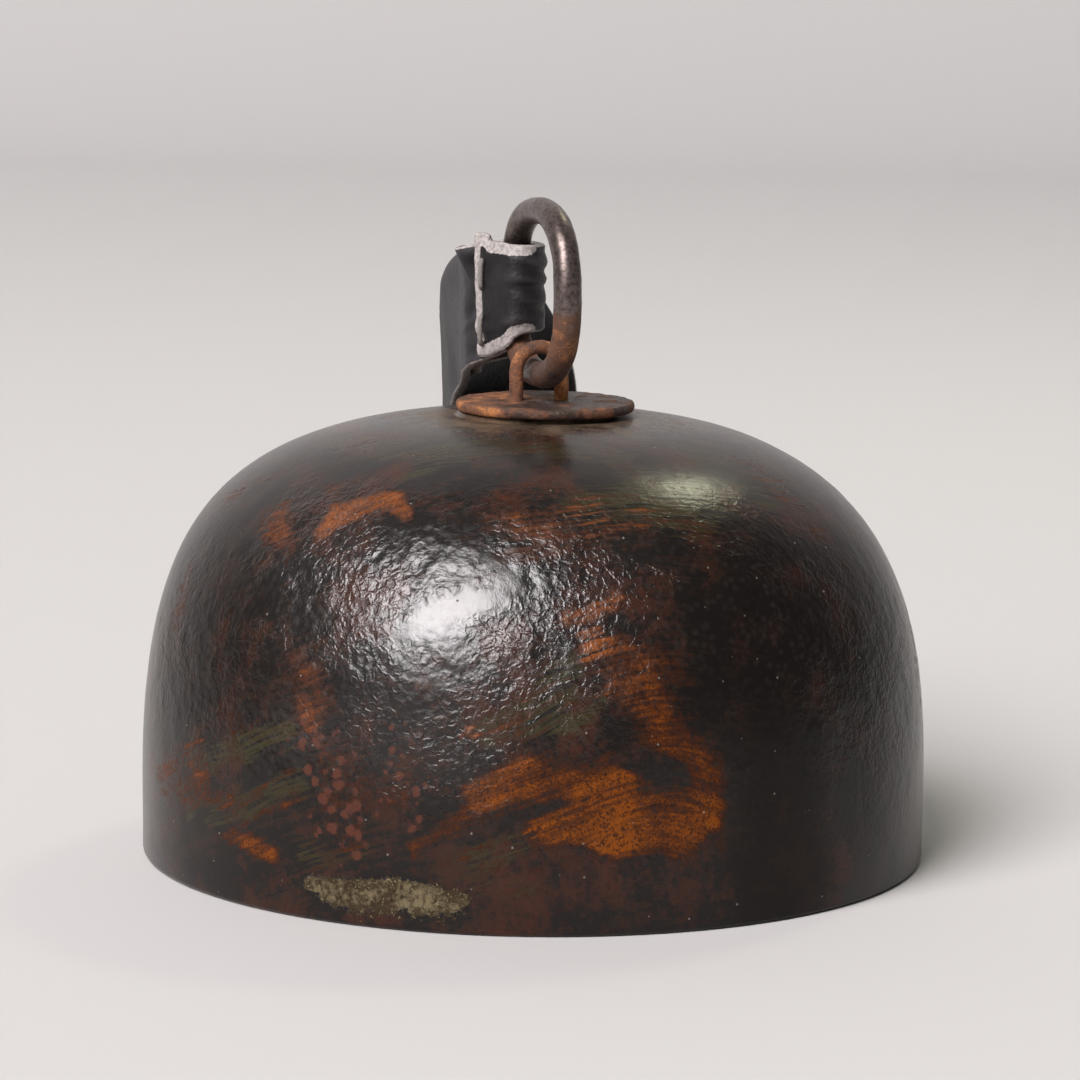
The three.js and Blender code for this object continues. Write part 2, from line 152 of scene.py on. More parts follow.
# smooth line through points; further columns, such as a width, go along with it
def smoothLine(points, count, closed=False):
    p = np.array(points, float)
    if closed:
        p = np.vstack([p[-1], p, p[0], p[1]])
    else:
        p = np.vstack([2 * p[0] - p[1], p, 2 * p[-1] - p[-2]])
    dense = []
    for a, b, c, d in zip(p[:-3], p[1:-2], p[2:-1], p[3:]):
        k0 = 0.0
        k1 = k0 + np.linalg.norm((b - a)[:3]) ** 0.5
        k2 = k1 + np.linalg.norm((c - b)[:3]) ** 0.5
        k3 = k2 + np.linalg.norm((d - c)[:3]) ** 0.5
        t = np.linspace(k1, k2, 24, endpoint=False)[:, None]
        ab = a * (k1 - t) / (k1 - k0) + b * (t - k0) / (k1 - k0)
        bc = b * (k2 - t) / (k2 - k1) + c * (t - k1) / (k2 - k1)
        cd = c * (k3 - t) / (k3 - k2) + d * (t - k2) / (k3 - k2)
        abc = ab * (k2 - t) / (k2 - k0) + bc * (t - k0) / (k2 - k0)
        bcd = bc * (k3 - t) / (k3 - k1) + cd * (t - k1) / (k3 - k1)
        dense.append(abc * (k2 - t) / (k2 - k1) + bcd * (t - k1) / (k2 - k1))
    dense.append(p[-2][None])
    line = np.vstack(dense)
    return evenly(line, count + 1)[:-1] if closed else evenly(line, count)


def unit(v):
    return v / np.maximum(np.linalg.norm(v, axis=-1, keepdims=True), 1e-12)


# quads between rows of points, each row closed on itself
def gridFaces(rows, columns, closeRows=False):
    i, j = np.divmod(np.arange((rows if closeRows else rows - 1) * columns), columns)
    below, right = (i + 1) % rows, (j + 1) % columns
    corners = i * columns + j, i * columns + right, below * columns + right, below * columns + j
    return np.stack(corners, axis=1).tolist()


# fans that close the first and the last row of a grid round points n and n + 1
def endFans(faces, n, rows, columns, flip=False):
    last = (rows - 1) * columns
    for j in range(columns):
        k = (j + 1) % columns
        fans = [n, k, j], [n + 1, last + j, last + k]
        faces += [fan[::-1] if flip else fan for fan in fans]


# one value a row, repeated for each column
def eachColumn(values, columns):
    return np.repeat(np.asarray(values)[:, None], columns, 1).ravel()


# even angles all the way round
def fullTurn(count):
    return np.linspace(0, 2 * math.pi, count, endpoint=False)


# an outline of radius and height turned round the axis: angle, radius and height of its points
def turnedRound(line, columns):
    angle = np.tile(fullTurn(columns), len(line))
    return angle, eachColumn(line[:, 0], columns), eachColumn(line[:, 1], columns)


def aroundAxis(angle, r, z):
    return np.column_stack([np.cos(angle) * r, np.sin(angle) * r, z])


def makePiece(name, points, faces, material, body, replaced, values):
    item = addMesh(name, points.tolist(), faces, material)
    for key, data in values.items():
        data = np.asarray(data, np.float32)
        kind, field = ("FLOAT_VECTOR", "vector") if data.ndim == 2 else ("FLOAT", "value")
        item.data.attributes.new(key, kind, "POINT").data.foreach_set(field, data.ravel())
    item.data.update()
    if body:
        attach(item, body)
    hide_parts(*replaced)
    return item


# a bar swept along a line; swell gives, for points of its skin, a share of the radius to add
def sweptBar(line, radius, sides, swell, closed=False, firstAcross=(0, 0, 1)):
    if closed:
        along = unit(np.roll(line, -1, 0) - np.roll(line, 1, 0))
    else:
        along = unit(np.gradient(line, axis=0))
    across = np.zeros_like(line)
    side = np.array(firstAcross, float)
    for i, d in enumerate(along):
        side = unit(side - d * (side @ d))
        across[i] = side
    other = np.cross(along, across)
    angle = fullTurn(sides)[None, :, None]
    ring = across[:, None] * np.cos(angle) + other[:, None] * np.sin(angle)

    def skin(reach):
        return (line[:, None] + ring * reach).reshape(-1, 3)
    flat = skin(radius * (1 + swell(skin(radius)).reshape(len(line), sides, 1)))
    faces = gridFaces(len(line), sides, closed)
    if not closed:
        endFans(faces, len(flat), len(line), sides)
        bulge = along * radius * 0.3
        flat = np.vstack([flat, line[0] - bulge[0], line[-1] + bulge[-1]])
    return flat, faces


# a material under way: each method adds nodes; the sizes of textures are in millimetres
class Paint:
    def __init__(self, name):
        self.made = bpy.data.materials.new(name)
        self.made.use_nodes = True
        self.tree = self.made.node_tree
        self.shader = self.tree.nodes["Principled BSDF"]
        self.place = self.put("TexCoord").outputs["Object"]

    def fill(self, node, values):
        for key, value in values.items():
            if isinstance(value, bpy.types.NodeSocket):
                self.tree.links.new(value, node.inputs[key])
            else:
                node.inputs[key].default_value = value

    def put(self, kind, inputs=None, **settings):
        node = self.tree.nodes.new("ShaderNode" + kind)
        for key, value in settings.items():
            setattr(node, key, value)
        self.fill(node, inputs or {})
        return node

    def calc(self, operation, a, b):
        return self.put("Math", {0: a, 1: b}, operation=operation).outputs[0]

    def times(self, a, b):
        return self.calc("MULTIPLY", a, b)

    def total(self, out, *parts):
        for part in parts:
            out = self.calc("ADD", out, part)
        return out

    def around(self, value, amount):
        return self.times(self.calc("SUBTRACT", value, 0.5), amount)

    def mixed(self, share, a, b):
        a, b = (v if isinstance(v, bpy.types.NodeSocket) else (*v, 1) for v in (a, b))
        return self.put("Mix", {0: share, 6: a, 7: b}, data_type="RGBA").outputs[2]

    def stepped(self, value, low, high):
        inputs = {"Value": value, "From Min": low, "From Max": high}
        return self.put("MapRange", inputs, interpolation_type="SMOOTHSTEP").outputs[0]

    def painted(self, name, output="Fac"):
        return self.put("Attribute", attribute_name=name).outputs[output]

    def grain(self, size, detail=3.0, rough=0.55, stretch=None):
        where = self.place
        if stretch:
            where = self.put("Mapping", {"Vector": where, "Scale": stretch}).outputs[0]
        inputs = {"Vector": where, "Scale": 1 / (size * mm), "Detail": detail, "Roughness": rough}
        return self.put("TexNoise", inputs).outputs["Fac"]

    def cells(self, size, feature="F1", where=None):
        inputs = {"Vector": self.place if where is None else where, "Scale": 1 / (size * mm)}
        return self.put("TexVoronoi", inputs, feature=feature).outputs["Distance"]

    def finish(self, values, height, depth, strength=1.0):
        inputs = {"Height": height, "Distance": depth * mm, "Strength": strength}
        self.fill(self.shader, {**values, "Normal": self.put("Bump", inputs).outputs[0]})
        return self.made


# strap: one long strip of leather. Middle of the strap, direction of its width, and its
# width, in millimetres, tab end first: the same points as the solid's
strap = {
    "thickness": 1.35,
    "steps": 620,
    "across": 26,
    "edgeRounding": 0.32,
    "wrinkle": 0.2,
    "furrow": 0.21,
    "furrowPitch": 2.7,
    "bevelWidth": 2.1,
    "bevelLength": 9,
    "bevelDrop": 0.5,
    "foldAt": 11,
    "roughness": 0.42,
    "shine": 0.3,
    "poreDepth": 0.09,
    "cutEdgeColour": (0.52, 0.47, 0.45),
    "cutFibreColour": (0.2, 0.185, 0.18),
    "leatherColour": (0.0095, 0.0088, 0.0098),
    "wornAndSheenColour": (0.042, 0.0385, 0.0425),
}
strapRoute = [
    (-8.1, 10.6, 70.2, 0, 0, 1, 16.4),
    (-6.9, 9.3, 70.3, 0, 0, 1, 16.2),
    (-5.75, 7.9, 70.5, 0, 0, 1, 14.9),
    (-4.55, 6.55, 71, 0, 0, 1, 13.3),
    (-3.15, 5.45, 71.3, 0, 0, 1, 12.2),
    (-1.65, 5.65, 71.4, 0, 0, 1, 11.7),
    (-0.45, 7.1, 71.4, 0, 0, 1, 11.4),
    (0.05, 9.2, 71.4, 0, 0, 1, 11.3),
    (-0.3, 11.4, 71.4, 0, 0, 1, 11.3),
    (-1.6, 13.1, 71.3, 0, 0, 1, 11.7),
    (-3.6, 13.7, 71, 0, 0, 1, 12.6),
    (-5.3, 13.3, 70.5, 0, 0, 1, 13.8),
    (-6.6, 12.8, 69.9, 0, 0, 1, 14.8),
    (-7.8, 13.05, 69.2, 0, 0, 1, 15.6),
    (-8.8, 14.3, 68.6, 0, 0, 1, 16),
    (-9.4, 17, 67.8, 0, 0, 1, 16.3),
    (-9.8, 20.4, 67, 0, 0, 1, 16.5),
    (-10.4, 24, 66, -0.05, 0.05, 1, 16.5),
    (-11.1, 27.6, 64.4, -0.1, 0.2, 0.97, 16.5),
    (-11.8, 31.2, 62.2, -0.1, 0.33, 0.94, 16.5),
    (-12.1, 34.8, 59.7, -0.1, 0.44, 0.89, 16.5),
    (-12.3, 38.7, 56.9, -0.08, 0.55, 0.83, 16.5),
    (-12.5, 43.4, 53.2, -0.04, 0.63, 0.77, 16.5),
    (-12.4, 48.4, 47.9, 0, 0.76, 0.65, 16.5),
    (-12.3, 53.2, 40, 0, 0.9, 0.43, 16.5),
    (-11.9, 57.4, 31, 0.1, 0.98, 0.2, 16.5),
    (-10.5, 61.2, 22, 0.45, 0.88, 0.1, 16.5),
    (-7.8, 64.8, 14.5, 0.8, 0.58, 0, 16.5),
    (-5, 67.6, 8.4, 0.97, 0.25, 0, 16.5),
    (-3, 68.8, 3.9, 1, 0.05, 0, 16.5),
    (-2.2, 66.6, 1.3, 1, 0, 0, 16.5),
    (-2, 63.2, 1, 1, 0, 0, 16.5),
    (-2, 59.8, 1.7, 1, 0, 0, 16.5),
    (-2, 57.2, 4.5, 1, 0, 0, 16.5),
    (-2, 55.7, 9.2, 1, 0, 0, 16.5),
    (-2, 54.8, 15.5, 1, 0, 0, 16.5),
    (-2, 54.2, 22.5, 1, 0, 0, 16.5),
    (-2, 53.2, 30, 1, 0, 0, 16.5),
    (-2, 51, 38, 1, 0, 0, 16.5),
    (-2.2, 47.4, 45, 1, 0, 0.08, 16.5),
    (-2.5, 42.9, 51, 0.96, 0, 0.25, 16.5),
    (-2.9, 39.2, 55, 0.9, 0, 0.43, 16.5),
    (-3.6, 35.6, 58.5, 0.75, 0, 0.66, 16.5),
    (-4.6, 32.2, 61.6, 0.5, 0, 0.87, 16.5),
    (-6, 29, 64.2, 0.25, 0, 0.97, 16.5),
    (-7.3, 25.8, 66.1, 0, 0, 1, 16.5),
    (-8, 22.4, 67.3, 0, 0, 1, 16.5),
    (-7.95, 19.6, 68.1, 0, 0, 1, 16.3),
    (-7.4, 17.4, 68.6, 0, 0, 1, 16),
    (-6.4, 16.1, 68.9, 0, 0, 1, 15.7),
    (-5, 15.65, 69.1, 0, 0, 1, 15.3),
    (-3.4, 15.65, 69.3, 0, 0, 1, 15),
]


def leatherMaterial(s):
    p = Paint("blackLeather")
    fine, fibres = p.grain(0.35, 4), p.grain(0.5, 4, 0.7)
    # rubbed grey where worn, and a painted sheen: lighter grey on the strand that runs back behind the tab
    rubAndSheen = p.total(p.painted("wornAndSheen"), p.around(p.grain(5, 3), 0.9))
    colour = p.mixed(p.stepped(rubAndSheen, 0.25, 0.95), s["leatherColour"], s["wornAndSheenColour"])
    ragged = p.total(p.painted("cutEdge"), p.around(fibres, 0.7))
    pale = p.mixed(p.stepped(fibres, 0.25, 0.75), s["cutFibreColour"], s["cutEdgeColour"])
    colour = p.mixed(p.stepped(ragged, 0.45, 0.62), colour, pale)
    roughness = p.total(p.times(fine, 0.22), s["roughness"])
    height = p.total(p.times(p.cells(0.55), 0.7), p.times(fine, 0.5))
    values = {"Base Color": colour, "Roughness": roughness, "Specular IOR Level": s["shine"]}
    return p.finish(values, height, s["poreDepth"], 0.8)


def buildStrap(s):
    line = smoothLine(strapRoute, s["steps"])
    middle = line[:, :3]
    along = unit(np.gradient(middle, axis=0))
    wide = unit(line[:, 3:6] - along * (line[:, 3:6] * along).sum(1, keepdims=True))
    thick = np.cross(along, wide)
    halfThick, rounding, n = s["thickness"] / 2, s["edgeRounding"], s["across"]
    # the section goes round: along one face, over an edge, back along the other face
    face = np.linspace(-1, 1, n)
    corner = np.linspace(0, math.pi, 9)[1:-1]
    section = [(f, 1, 0.0) for f in face]
    section += [(1, math.cos(a), math.sin(a)) for a in corner]
    section += [(-f, -1, 0.0) for f in face]
    section += [(-1, -math.cos(a), math.sin(a)) for a in corner]
    across, up, out = (np.array(v) for v in zip(*section))
    travel = lengthAlong(middle)
    halfWide = line[:, 6] / 2
    # its edge wanders as a hand-cut one does
    wander = patches(np.stack([travel, travel * 0, travel * 0], 1), 9, 5, 2)
    halfWide = halfWide + wander * 0.5 - 0.12
    w = across[None] * (halfWide[:, None] - rounding) + np.sign(across)[None] * out[None] * rounding
    lean = w / np.maximum(halfWide[:, None], 1)
    flatPlace = np.stack([np.repeat(travel[:, None], len(section), 1), w, w * 0], -1).reshape(-1, 3)
    # creases run lengthwise where the strip is pinched into the fold, and crosswise at bends
    lengthwise = softNoise(flatPlace * (0.11, 1, 1), 1.7, 11) - 0.5
    crosswise = patches(flatPlace * (1, 0.25, 1), 2.6, 17)
    nearFold = easeStep(-np.abs(travel - s["foldAt"]), -24, -10)[:, None]
    crease = lengthwise.reshape(w.shape) * (0.35 + 1.3 * nearFold) + crosswise.reshape(w.shape) * 0.7
    crease = crease * s["wrinkle"] * easeStep(1 - np.abs(lean), 0, 0.12)
    # soft furrows along the tab
    drift = layeredNoise(flatPlace * (0.3, 0.5, 1), 2.2, 23, 2).reshape(w.shape)
    furrows = np.sin(w * 2 * math.pi / s["furrowPitch"] + drift * 9) * easeStep(drift, 0.3, 0.6)
    crease = crease + furrows * s["furrow"] * nearFold * easeStep(1 - np.abs(lean), 0.05, 0.3)
    t = up[None] * halfThick * (1 - 0.12 * easeStep(np.abs(lean), 0.9, 1)) + crease
    # the tab's outer face is cut down to a raw bevel along its end and both edges
    inFromCut = np.minimum(halfWide[:, None] - np.abs(w), travel[:, None])
    bevel = easeStep(-inFromCut, -s["bevelWidth"], -s["bevelWidth"] * 0.2) * (up[None] > 0)
    bevel = bevel * easeStep(-travel, -s["bevelLength"] - 3, -s["bevelLength"] + 3)[:, None]
    t = t - bevel * s["bevelDrop"]
    points = middle[:, None] + wide[:, None] * w[..., None] + thick[:, None] * t[..., None]
    rows, columns = points.shape[:2]
    cutEdge = np.repeat((out > 0.05).astype(float)[None], rows, 0)
    cutEdge = np.maximum(cutEdge, 0.62 * easeStep(np.abs(lean), 0.955, 0.995))
    cutEdge = np.maximum(cutEdge, 0.85 * easeStep(bevel, 0.05, 0.4))
    cutEdge[:2] = 1
    cutEdge[-2:] = 1
    # lighter where worn: a little all over, more along the edges and on the crease tops; and a painted
    # sheen, lighter grey on the strand behind the tab, about 20 to 50 mm along
    wornAndSheen = 0.35 + 0.5 * easeStep(np.abs(lean), 0.75, 1) + 2.2 * np.maximum(crease, 0)
    wornAndSheen = wornAndSheen + 0.3 * easeStep(-np.abs(travel[:, None] - s["foldAt"] - 24), -16, -4)
    # close the two ends: quads between the faces, and a fan at either edge
    end, turns = [], len(corner)
    for i in range(n - 1):
        lower = 2 * n + turns - 1 - i
        end.append([i, i + 1, lower - 1, lower])
    end.append([n - 1 + k for k in range(turns + 2)])
    end.append([2 * n + turns - 1 + k for k in range(turns + 1)] + [0])
    last = (rows - 1) * columns
    faces = gridFaces(rows, columns) + end + [[last + k for k in face[::-1]] for face in end]
    values = {"cutEdge": cutEdge.ravel(), "wornAndSheen": wornAndSheen.ravel()}
    return points.reshape(-1, 3) * mm, faces, values, middle * mm, travel[-1] * mm


points, faces, values, strapLine, strapLength = buildStrap(strap)
leather = leatherMaterial(strap)
strapPiece = makePiece(
    "strapLeather", points, faces, leather, None, ["leather_strap"], values
)
print("strap made, %.0f mm long" % (strapLength / mm))

# the seam's thread, in millimetres
thread = {
    "radius": 0.35,
    "seam": (-7.2, 9.6, 69.4),
    "across": (0.28, 0.96),
    "depth": 6.38,
    "pitch": 3.6,
    "count": 4,
    "gap": 0.3,
    "tail": 0.6,
    "sides": 14,
    "twists": 60,
    "colour": (0.13, 0.118, 0.108),
    "paleColour": (0.286, 0.2596, 0.2376),
}


def threadMaterial(t):
    p = Paint("waxedThread")
    twist = p.grain(0.16, 2, 0.5, (1, 1, 2.5))
    colour = p.mixed(p.stepped(twist, 0.35, 0.7), t["colour"], t["paleColour"])
    return p.finish({"Base Color": colour, "Roughness": 0.6}, twist, 0.06)


def buildThread(t):
    clear = strap["thickness"] / 2 + t["gap"] + t["radius"]
    front, back = -clear, t["depth"] + clear
    heights = [t["seam"][2] + (i - (t["count"] - 1) / 2) * t["pitch"] for i in range(t["count"])]

    def point(across, z):
        x, y = (t["seam"][k] + t["across"][k] * across for k in (0, 1))
        return np.array((x, y, z))
    corners = []
    for i, z in enumerate(heights):
        corners += [point(side, z) for side in ((front, back) if i % 2 else (back, front))]
    corners[0], corners[-1] = (point(back + t["tail"], z) for z in (heights[0], heights[-1]))
    path = [corners[0]]
    for before, here, after in zip(corners[:-2], corners[1:-1], corners[2:]):
        a, b = unit(before - here), unit(after - here)
        path += [here + a * 0.7, here + (a + b) * 0.2, here + b * 0.7]
    path.append(corners[-1])
    line = smoothLine(path, 420)

    def plied(points):
        turns = eachColumn(np.linspace(0, 1, len(line)), t["sides"]) * 2 * math.pi * t["twists"]
        around = np.tile(fullTurn(t["sides"]), len(line))
        return 0.09 * np.cos(2 * around + turns) - 0.06
    return sweptBar(line, t["radius"], t["sides"], plied)


points, faces = buildThread(thread)
threadPiece = makePiece(
    "seamThread", points * mm, faces, threadMaterial(thread), "ring", ["strap_thread"], {}
)
print("thread made")

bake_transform(strapPiece)

# bell dome, in millimetres, with its own outline made as the solid's is
dome = {
    "radius": 50,
    "height": 56.2,
    "sideExponent": 2.9,
    "crownExponent": 3.5,
    "wall": 3,
    "crown": 3.4,
    "flatRadius": 12.7,
    "seatRadius": 10.2,
    "seatRise": 0.6,
    "rimRounding": 0.7,
    "columns": 640,
    "outerPitch": 0.5,
    "innerPitch": 1.6,
    "shoulderLean": 0.45,
    "waviness": 0.5,
    "crustRise": 0.2,
    "streakLength": 9,
    "streakWidth": 0.55,
    "lacquerDark": (0.0082, 0.0064, 0.0056),
    "lacquerBrown": (0.026, 0.0125, 0.0078),
    "lacquerRed": (0.045, 0.0128, 0.0066),
    "olive": (0.030, 0.0245, 0.0085),
    "rustHalo": (0.023, 0.0078, 0.0040),
    "rustDull": (0.055, 0.0145, 0.0038),
    "rustBright": (0.198, 0.05, 0.003),
    "redSpots": (0.085, 0.025, 0.014),
    "bareBrass": (0.215, 0.174, 0.1),
    "brownBrass": (0.062, 0.043, 0.025),
    "brassGlint": (0.45, 0.40, 0.22),
    "brassCrack": (0.02, 0.014, 0.009),
    "dust": (0.20, 0.145, 0.095),
    "speck": (0.26, 0.235, 0.21),
    "rubbedCrust": (0.045, 0.036, 0.033),
    "insideDark": (0.045, 0.028, 0.018),
    "insidePale": (0.13, 0.078, 0.038),
    "roughness": 0.235,
    "shine": 0.27,
    "bumpDepth": 0.17,
}
# marks on the dome, each a strength and the points of a stroke: degrees to the right of the
# front, millimetres up the skin from the rim, and half the stroke's width there
rustStrokes = [
    (1, [(-8, 15.6, 2), (-1, 16.8, 3.1), (5.5, 17.6, 3.4), (12, 17, 3.2)]),
    (1.1, [(0.5, 12.4, 2.2), (7.5, 12.2, 3.6), (13.5, 13, 4.2), (20, 13.6, 3.9), (25, 13.4, 2.4)]),
    (0.9, [(16, 27, 2.2), (19.5, 23.4, 2.9), (23.5, 18.8, 2.6), (26, 12.4, 1.7)]),
    (0.6, [(26.5, 11.4, 1), (28, 7, 0.7)]),
    (0.75, [(-15, 8.8, 0.7), (-10.5, 12, 1.1), (-6.5, 14, 1.3)]),
    (1.05, [(-46, 7.4, 1.4), (-41.5, 7, 1.4), (-37.5, 6.2, 0.9)]),
    (0.6, [(-66.5, 12.2, 3.1), (-53.5, 13.8, 2.3)]),
    (0.5, [(-59, 9.8, 1.5), (-46.5, 13.2, 1.1)]),
    (0.6, [(-66.5, 14.6, 0.6), (-51.5, 18.8, 0.5), (-41.5, 21.4, 0.4)]),
    (0.55, [(-51, 10.2, 0.5), (-41.5, 13.4, 0.5), (-35, 17, 0.4)]),
    (0.55, [(-45.5, 9, 0.5), (-38.5, 11.4, 0.5), (-33.5, 13.8, 0.4)]),
    (0.7, [(-34.5, 24.6, 1.5), (-32, 22.2, 1.1)]),
    (0.5, [(-27.5, 18.8, 2.8), (-25.5, 14.8, 3.1), (-26, 11.4, 2.6)]),
    (0.42, [(-19, 19, 2.6), (-19, 15.2, 2.1)]),
    (0.75, [(-8.5, 23.4, 0.7), (-7.5, 23.6, 0.7)]),
    (0.5, [(1, 7.4, 0.7), (5.5, 8, 0.6)]),
    (1.3, [(-40, 47.2, 1.8), (-34.5, 49.4, 2.1), (-29.5, 51.8, 2), (-26, 50.8, 1.1)]),
    (0.85, [(-51, 46.6, 2.1), (-45, 44.6, 1.8)]),
    (0.5, [(-44.5, 53, 1.6), (-41, 55.6, 1.1)]),
    (0.7, [(-69.5, 36, 2.3), (-69.5, 32.2, 2.6)]),
    (0.45, [(-72.5, 48, 1.5), (-65, 53.4, 1.5), (-60, 58.8, 1.3)]),
    (0.62, [(-5, 51, 2.6), (3, 49.8, 3.2), (10, 49.2, 3.2), (18, 49.8, 2.1)]),
    (0.5, [(-6.5, 56, 1.6), (2.5, 55, 1.6)]),
    (0.5, [(-2, 45, 1.5), (5, 45.8, 1.7), (11.5, 47.2, 1.4)]),
    (0.8, [(5, 37.8, 1.4), (10.5, 39, 1.5), (13, 40.2, 0.9)]),
    (0.85, [(8.5, 35.2, 1.6), (11, 32.4, 2.6), (13.5, 29.2, 3.2), (17, 26, 3.2)]),
    (0.55, [(-36.5, 31.4, 1.6), (-33, 28.8, 2), (-31.5, 25.4, 1.9)]),
    (0.4, [(-15, 28.4, 1.5), (-12.5, 26.8, 1.3)]),
    (0.4, [(58.5, 58.6, 2.6), (58, 52.2, 2.6)]),
    (0.45, [(58.5, 45.2, 2.3), (62.5, 38.4, 2.1)]),
    (0.35, [(51, 32.6, 1.8), (51.5, 25.4, 1.8)]),
    (1, [(96, 12, 3), (108, 16, 4), (118, 13, 3)]),
    (0.8, [(112, 38, 3), (124, 43, 4)]),
    (1, [(146, 20, 3), (158, 24, 4.5), (170, 20, 3)]),
    (0.7, [(172, 50, 3), (186, 53, 3.5)]),
    (0.75, [(-172, 10, 3), (-160, 13, 4)]),
    (0.85, [(-152, 42, 3), (-140, 46, 4.5), (-130, 43, 3)]),
    (0.9, [(-124, 14, 4), (-112, 18, 3)]),
    (0.6, [(-104, 50, 3), (-96, 53, 2)]),
    (0.7, [(78, 20, 2), (84, 30, 2.5)]),
    (0.6, [(-95, 30, 3), (-88, 22, 2.5)]),
    (0.6, [(128, 30, 0.7), (150, 34, 0.6)]),
    (0.6, [(-150, 28, 0.6), (-130, 24, 0.7)]),
]
darkStrokes = [
    (1.3, [(13, 20.6, 1), (17.5, 19.4, 1.2), (20.5, 18.2, 0.9)]),
    (0.7, [(-3.5, 12.4, 0.6), (0, 14, 0.7), (4, 15.6, 0.4)]),
    (1.3, [(32, 24.4, 3.2), (32.5, 15.2, 3.7), (33.5, 4, 3.6)]),
    (0.6, [(4.5, 9.8, 0.7), (11, 7.8, 1), (17.5, 7.2, 1.5)]),
    (0.5, [(12, 43, 1.5), (20, 41.4, 2.1)]),
    (0.5, [(-28.5, 59.2, 2.1), (-15.5, 57.2, 1.5)]),
    (1, [(154, 21, 1), (163, 23, 1.2)]),
    (0.8, [(-119, 17, 1), (-113, 14, 1)]),
    (0.8, [(-141, 47, 1.1), (-134, 45, 0.8)]),
]
oliveStrokes = [
    (0.9, [(-58, 15.2, 1.5), (-44.5, 18.8, 1.9), (-36, 20.8, 1.5)]),
    (0.9, [(-56.5, 9, 1.5), (-44, 12.2, 2.1), (-33.5, 15.4, 1.8)]),
    (0.7, [(-32, 7.2, 1.5), (-23.5, 8.8, 1.5)]),
    (0.7, [(-7.5, 8.2, 1.5), (-1, 10.6, 1.3)]),
    (1, [(-6, 23.4, 1.5), (1, 25.4, 1.6), (9, 27.4, 1.1)]),
    (0.9, [(-2, 26.8, 1.5), (3.5, 30.6, 1.7), (9.5, 33.4, 1.4)]),
    (1, [(12, 52.4, 3.4), (34, 52.8, 4.6)]),
    (0.8, [(-64.5, 62.6, 3.2), (-29.5, 65, 3.8), (-5.5, 67, 3.4), (22, 64, 3.4)]),
    (0.8, [(43, 65.8, 2.3), (54, 61, 2.6)]),
    (0.6, [(-29.5, 58.2, 1.5), (-19, 63, 1.3)]),
    (0.5, [(-9.5, 5.8, 1.7), (-1, 5.6, 1.5)]),
    (0.5, [(23, 58.4, 2.6), (60.5, 51.4, 3.3)]),
    (0.9, [(120, 26, 2), (140, 31, 2.5), (158, 33, 2)]),
    (0.9, [(-165, 24, 2), (-140, 30, 2.5)]),
    (0.8, [(160, 64, 3), (195, 65, 3)]),
    (0.8, [(100, 62, 3), (130, 60, 3)]),
    (0.8, [(-120, 62, 3), (-95, 60, 3)]),
    (0.8, [(75, 12, 2), (92, 8, 2)]),
]
brassStrokes = [
    (1, [(-32, 4, 0.9), (-25.5, 3.2, 1.7), (-18.5, 3.4, 2), (-12, 3.2, 1.6), (-8.5, 3.8, 0.7)]),
    (1, [(-29, 1.8, 0.9), (-23.5, 1.2, 0.8), (-14, 1.6, 0.7)]),
]
crustStrokes = [
    (1, [(-36, 40, 11), (6, 38, 12)]),
    (0.8, [(-36, 22, 8), (-8, 20, 7)]),
    (0.75, [(20, 40, 10), (44, 36, 11)]),
    (0.55, [(-64, 30, 11), (-50, 26, 11)]),
    (0.4, [(56, 26, 14), (66, 26, 14)]),
    (0.3, [(0, 12, 7), (26, 12, 7)]),
    (0.7, [(110, 36, 14), (142, 36, 14)]),
    (0.7, [(-145, 34, 14), (-115, 34, 14)]),
    (0.6, [(170, 24, 11), (190, 24, 11)]),
]
polishStrokes = [
    (1, [(-34, 41, 11), (2, 39, 12)]),
    (0.5, [(-32, 24, 6), (-10, 24, 7)]),
    (0.6, [(110, 36, 12), (142, 36, 12)]),
    (0.6, [(-145, 34, 12), (-115, 34, 12)]),
]
smoothStrokes = [
    (0.95, [(-19, 35.2, 1.4), (-11, 36.6, 1.9), (-5, 38.3, 1.6)]),
    (0.9, [(-6.5, 43.6, 1.5), (-3.5, 40.5, 1.6)]),
]
scratchStrokes = [
    (0.8, [(15.5, 44.2, 0.5), (20, 42.6, 0.9), (24, 41.2, 0.5)]),
    (0.6, [(22, 34, 1.5), (34, 31, 2)]),
    (0.6, [(38, 38, 0.5), (43, 37.4, 0.5)]),
    (0.6, [(-42, 5, 0.8), (-34, 2.6, 0.8)]),
]
spotStrokes = [
    (1, [(-32, 21, 3.2), (-27, 14.5, 4), (-25, 9.5, 3)]),
    (0.9, [(-19, 21, 3), (-17, 13, 3)]),
    (0.7, [(-12, 27, 1.4), (-9, 23, 1.4)]),
    (0.7, [(-140, 24, 3), (-128, 18, 3)]),
    (0.7, [(136, 12, 3), (128, 18, 2.4)]),
]
# painted shade: strokes where the dome is painted darker, on its right side, at the left middle and round
# the back
paintedShadeStrokes = [
    (1, [(38, 42, 6), (37, 22, 7), (38, 4, 8)]),
    (0.9, [(58, 34, 12), (64, 14, 14)]),
    (0.7, [(24, 38, 4), (27, 30, 4)]),
    (0.6, [(-66, 24, 6), (-48, 24, 5)]),
    (0.5, [(-60, 36, 8), (-54, 30, 6)]),
    (0.7, [(100, 26, 5), (132, 18, 6)]),
    (0.7, [(-170, 34, 6), (-140, 20, 6)]),
]
# which way the brushed streaks run: degrees right of the front, height, reach, slope
streakPlaces = [
    (-45, 17, 26, 0.42),
    (4, 27, 16, 0.62),
    (10, 50, 24, 0.06),
    (-20, 8, 22, 0.3),
    (60, 30, 30, -0.1),
]


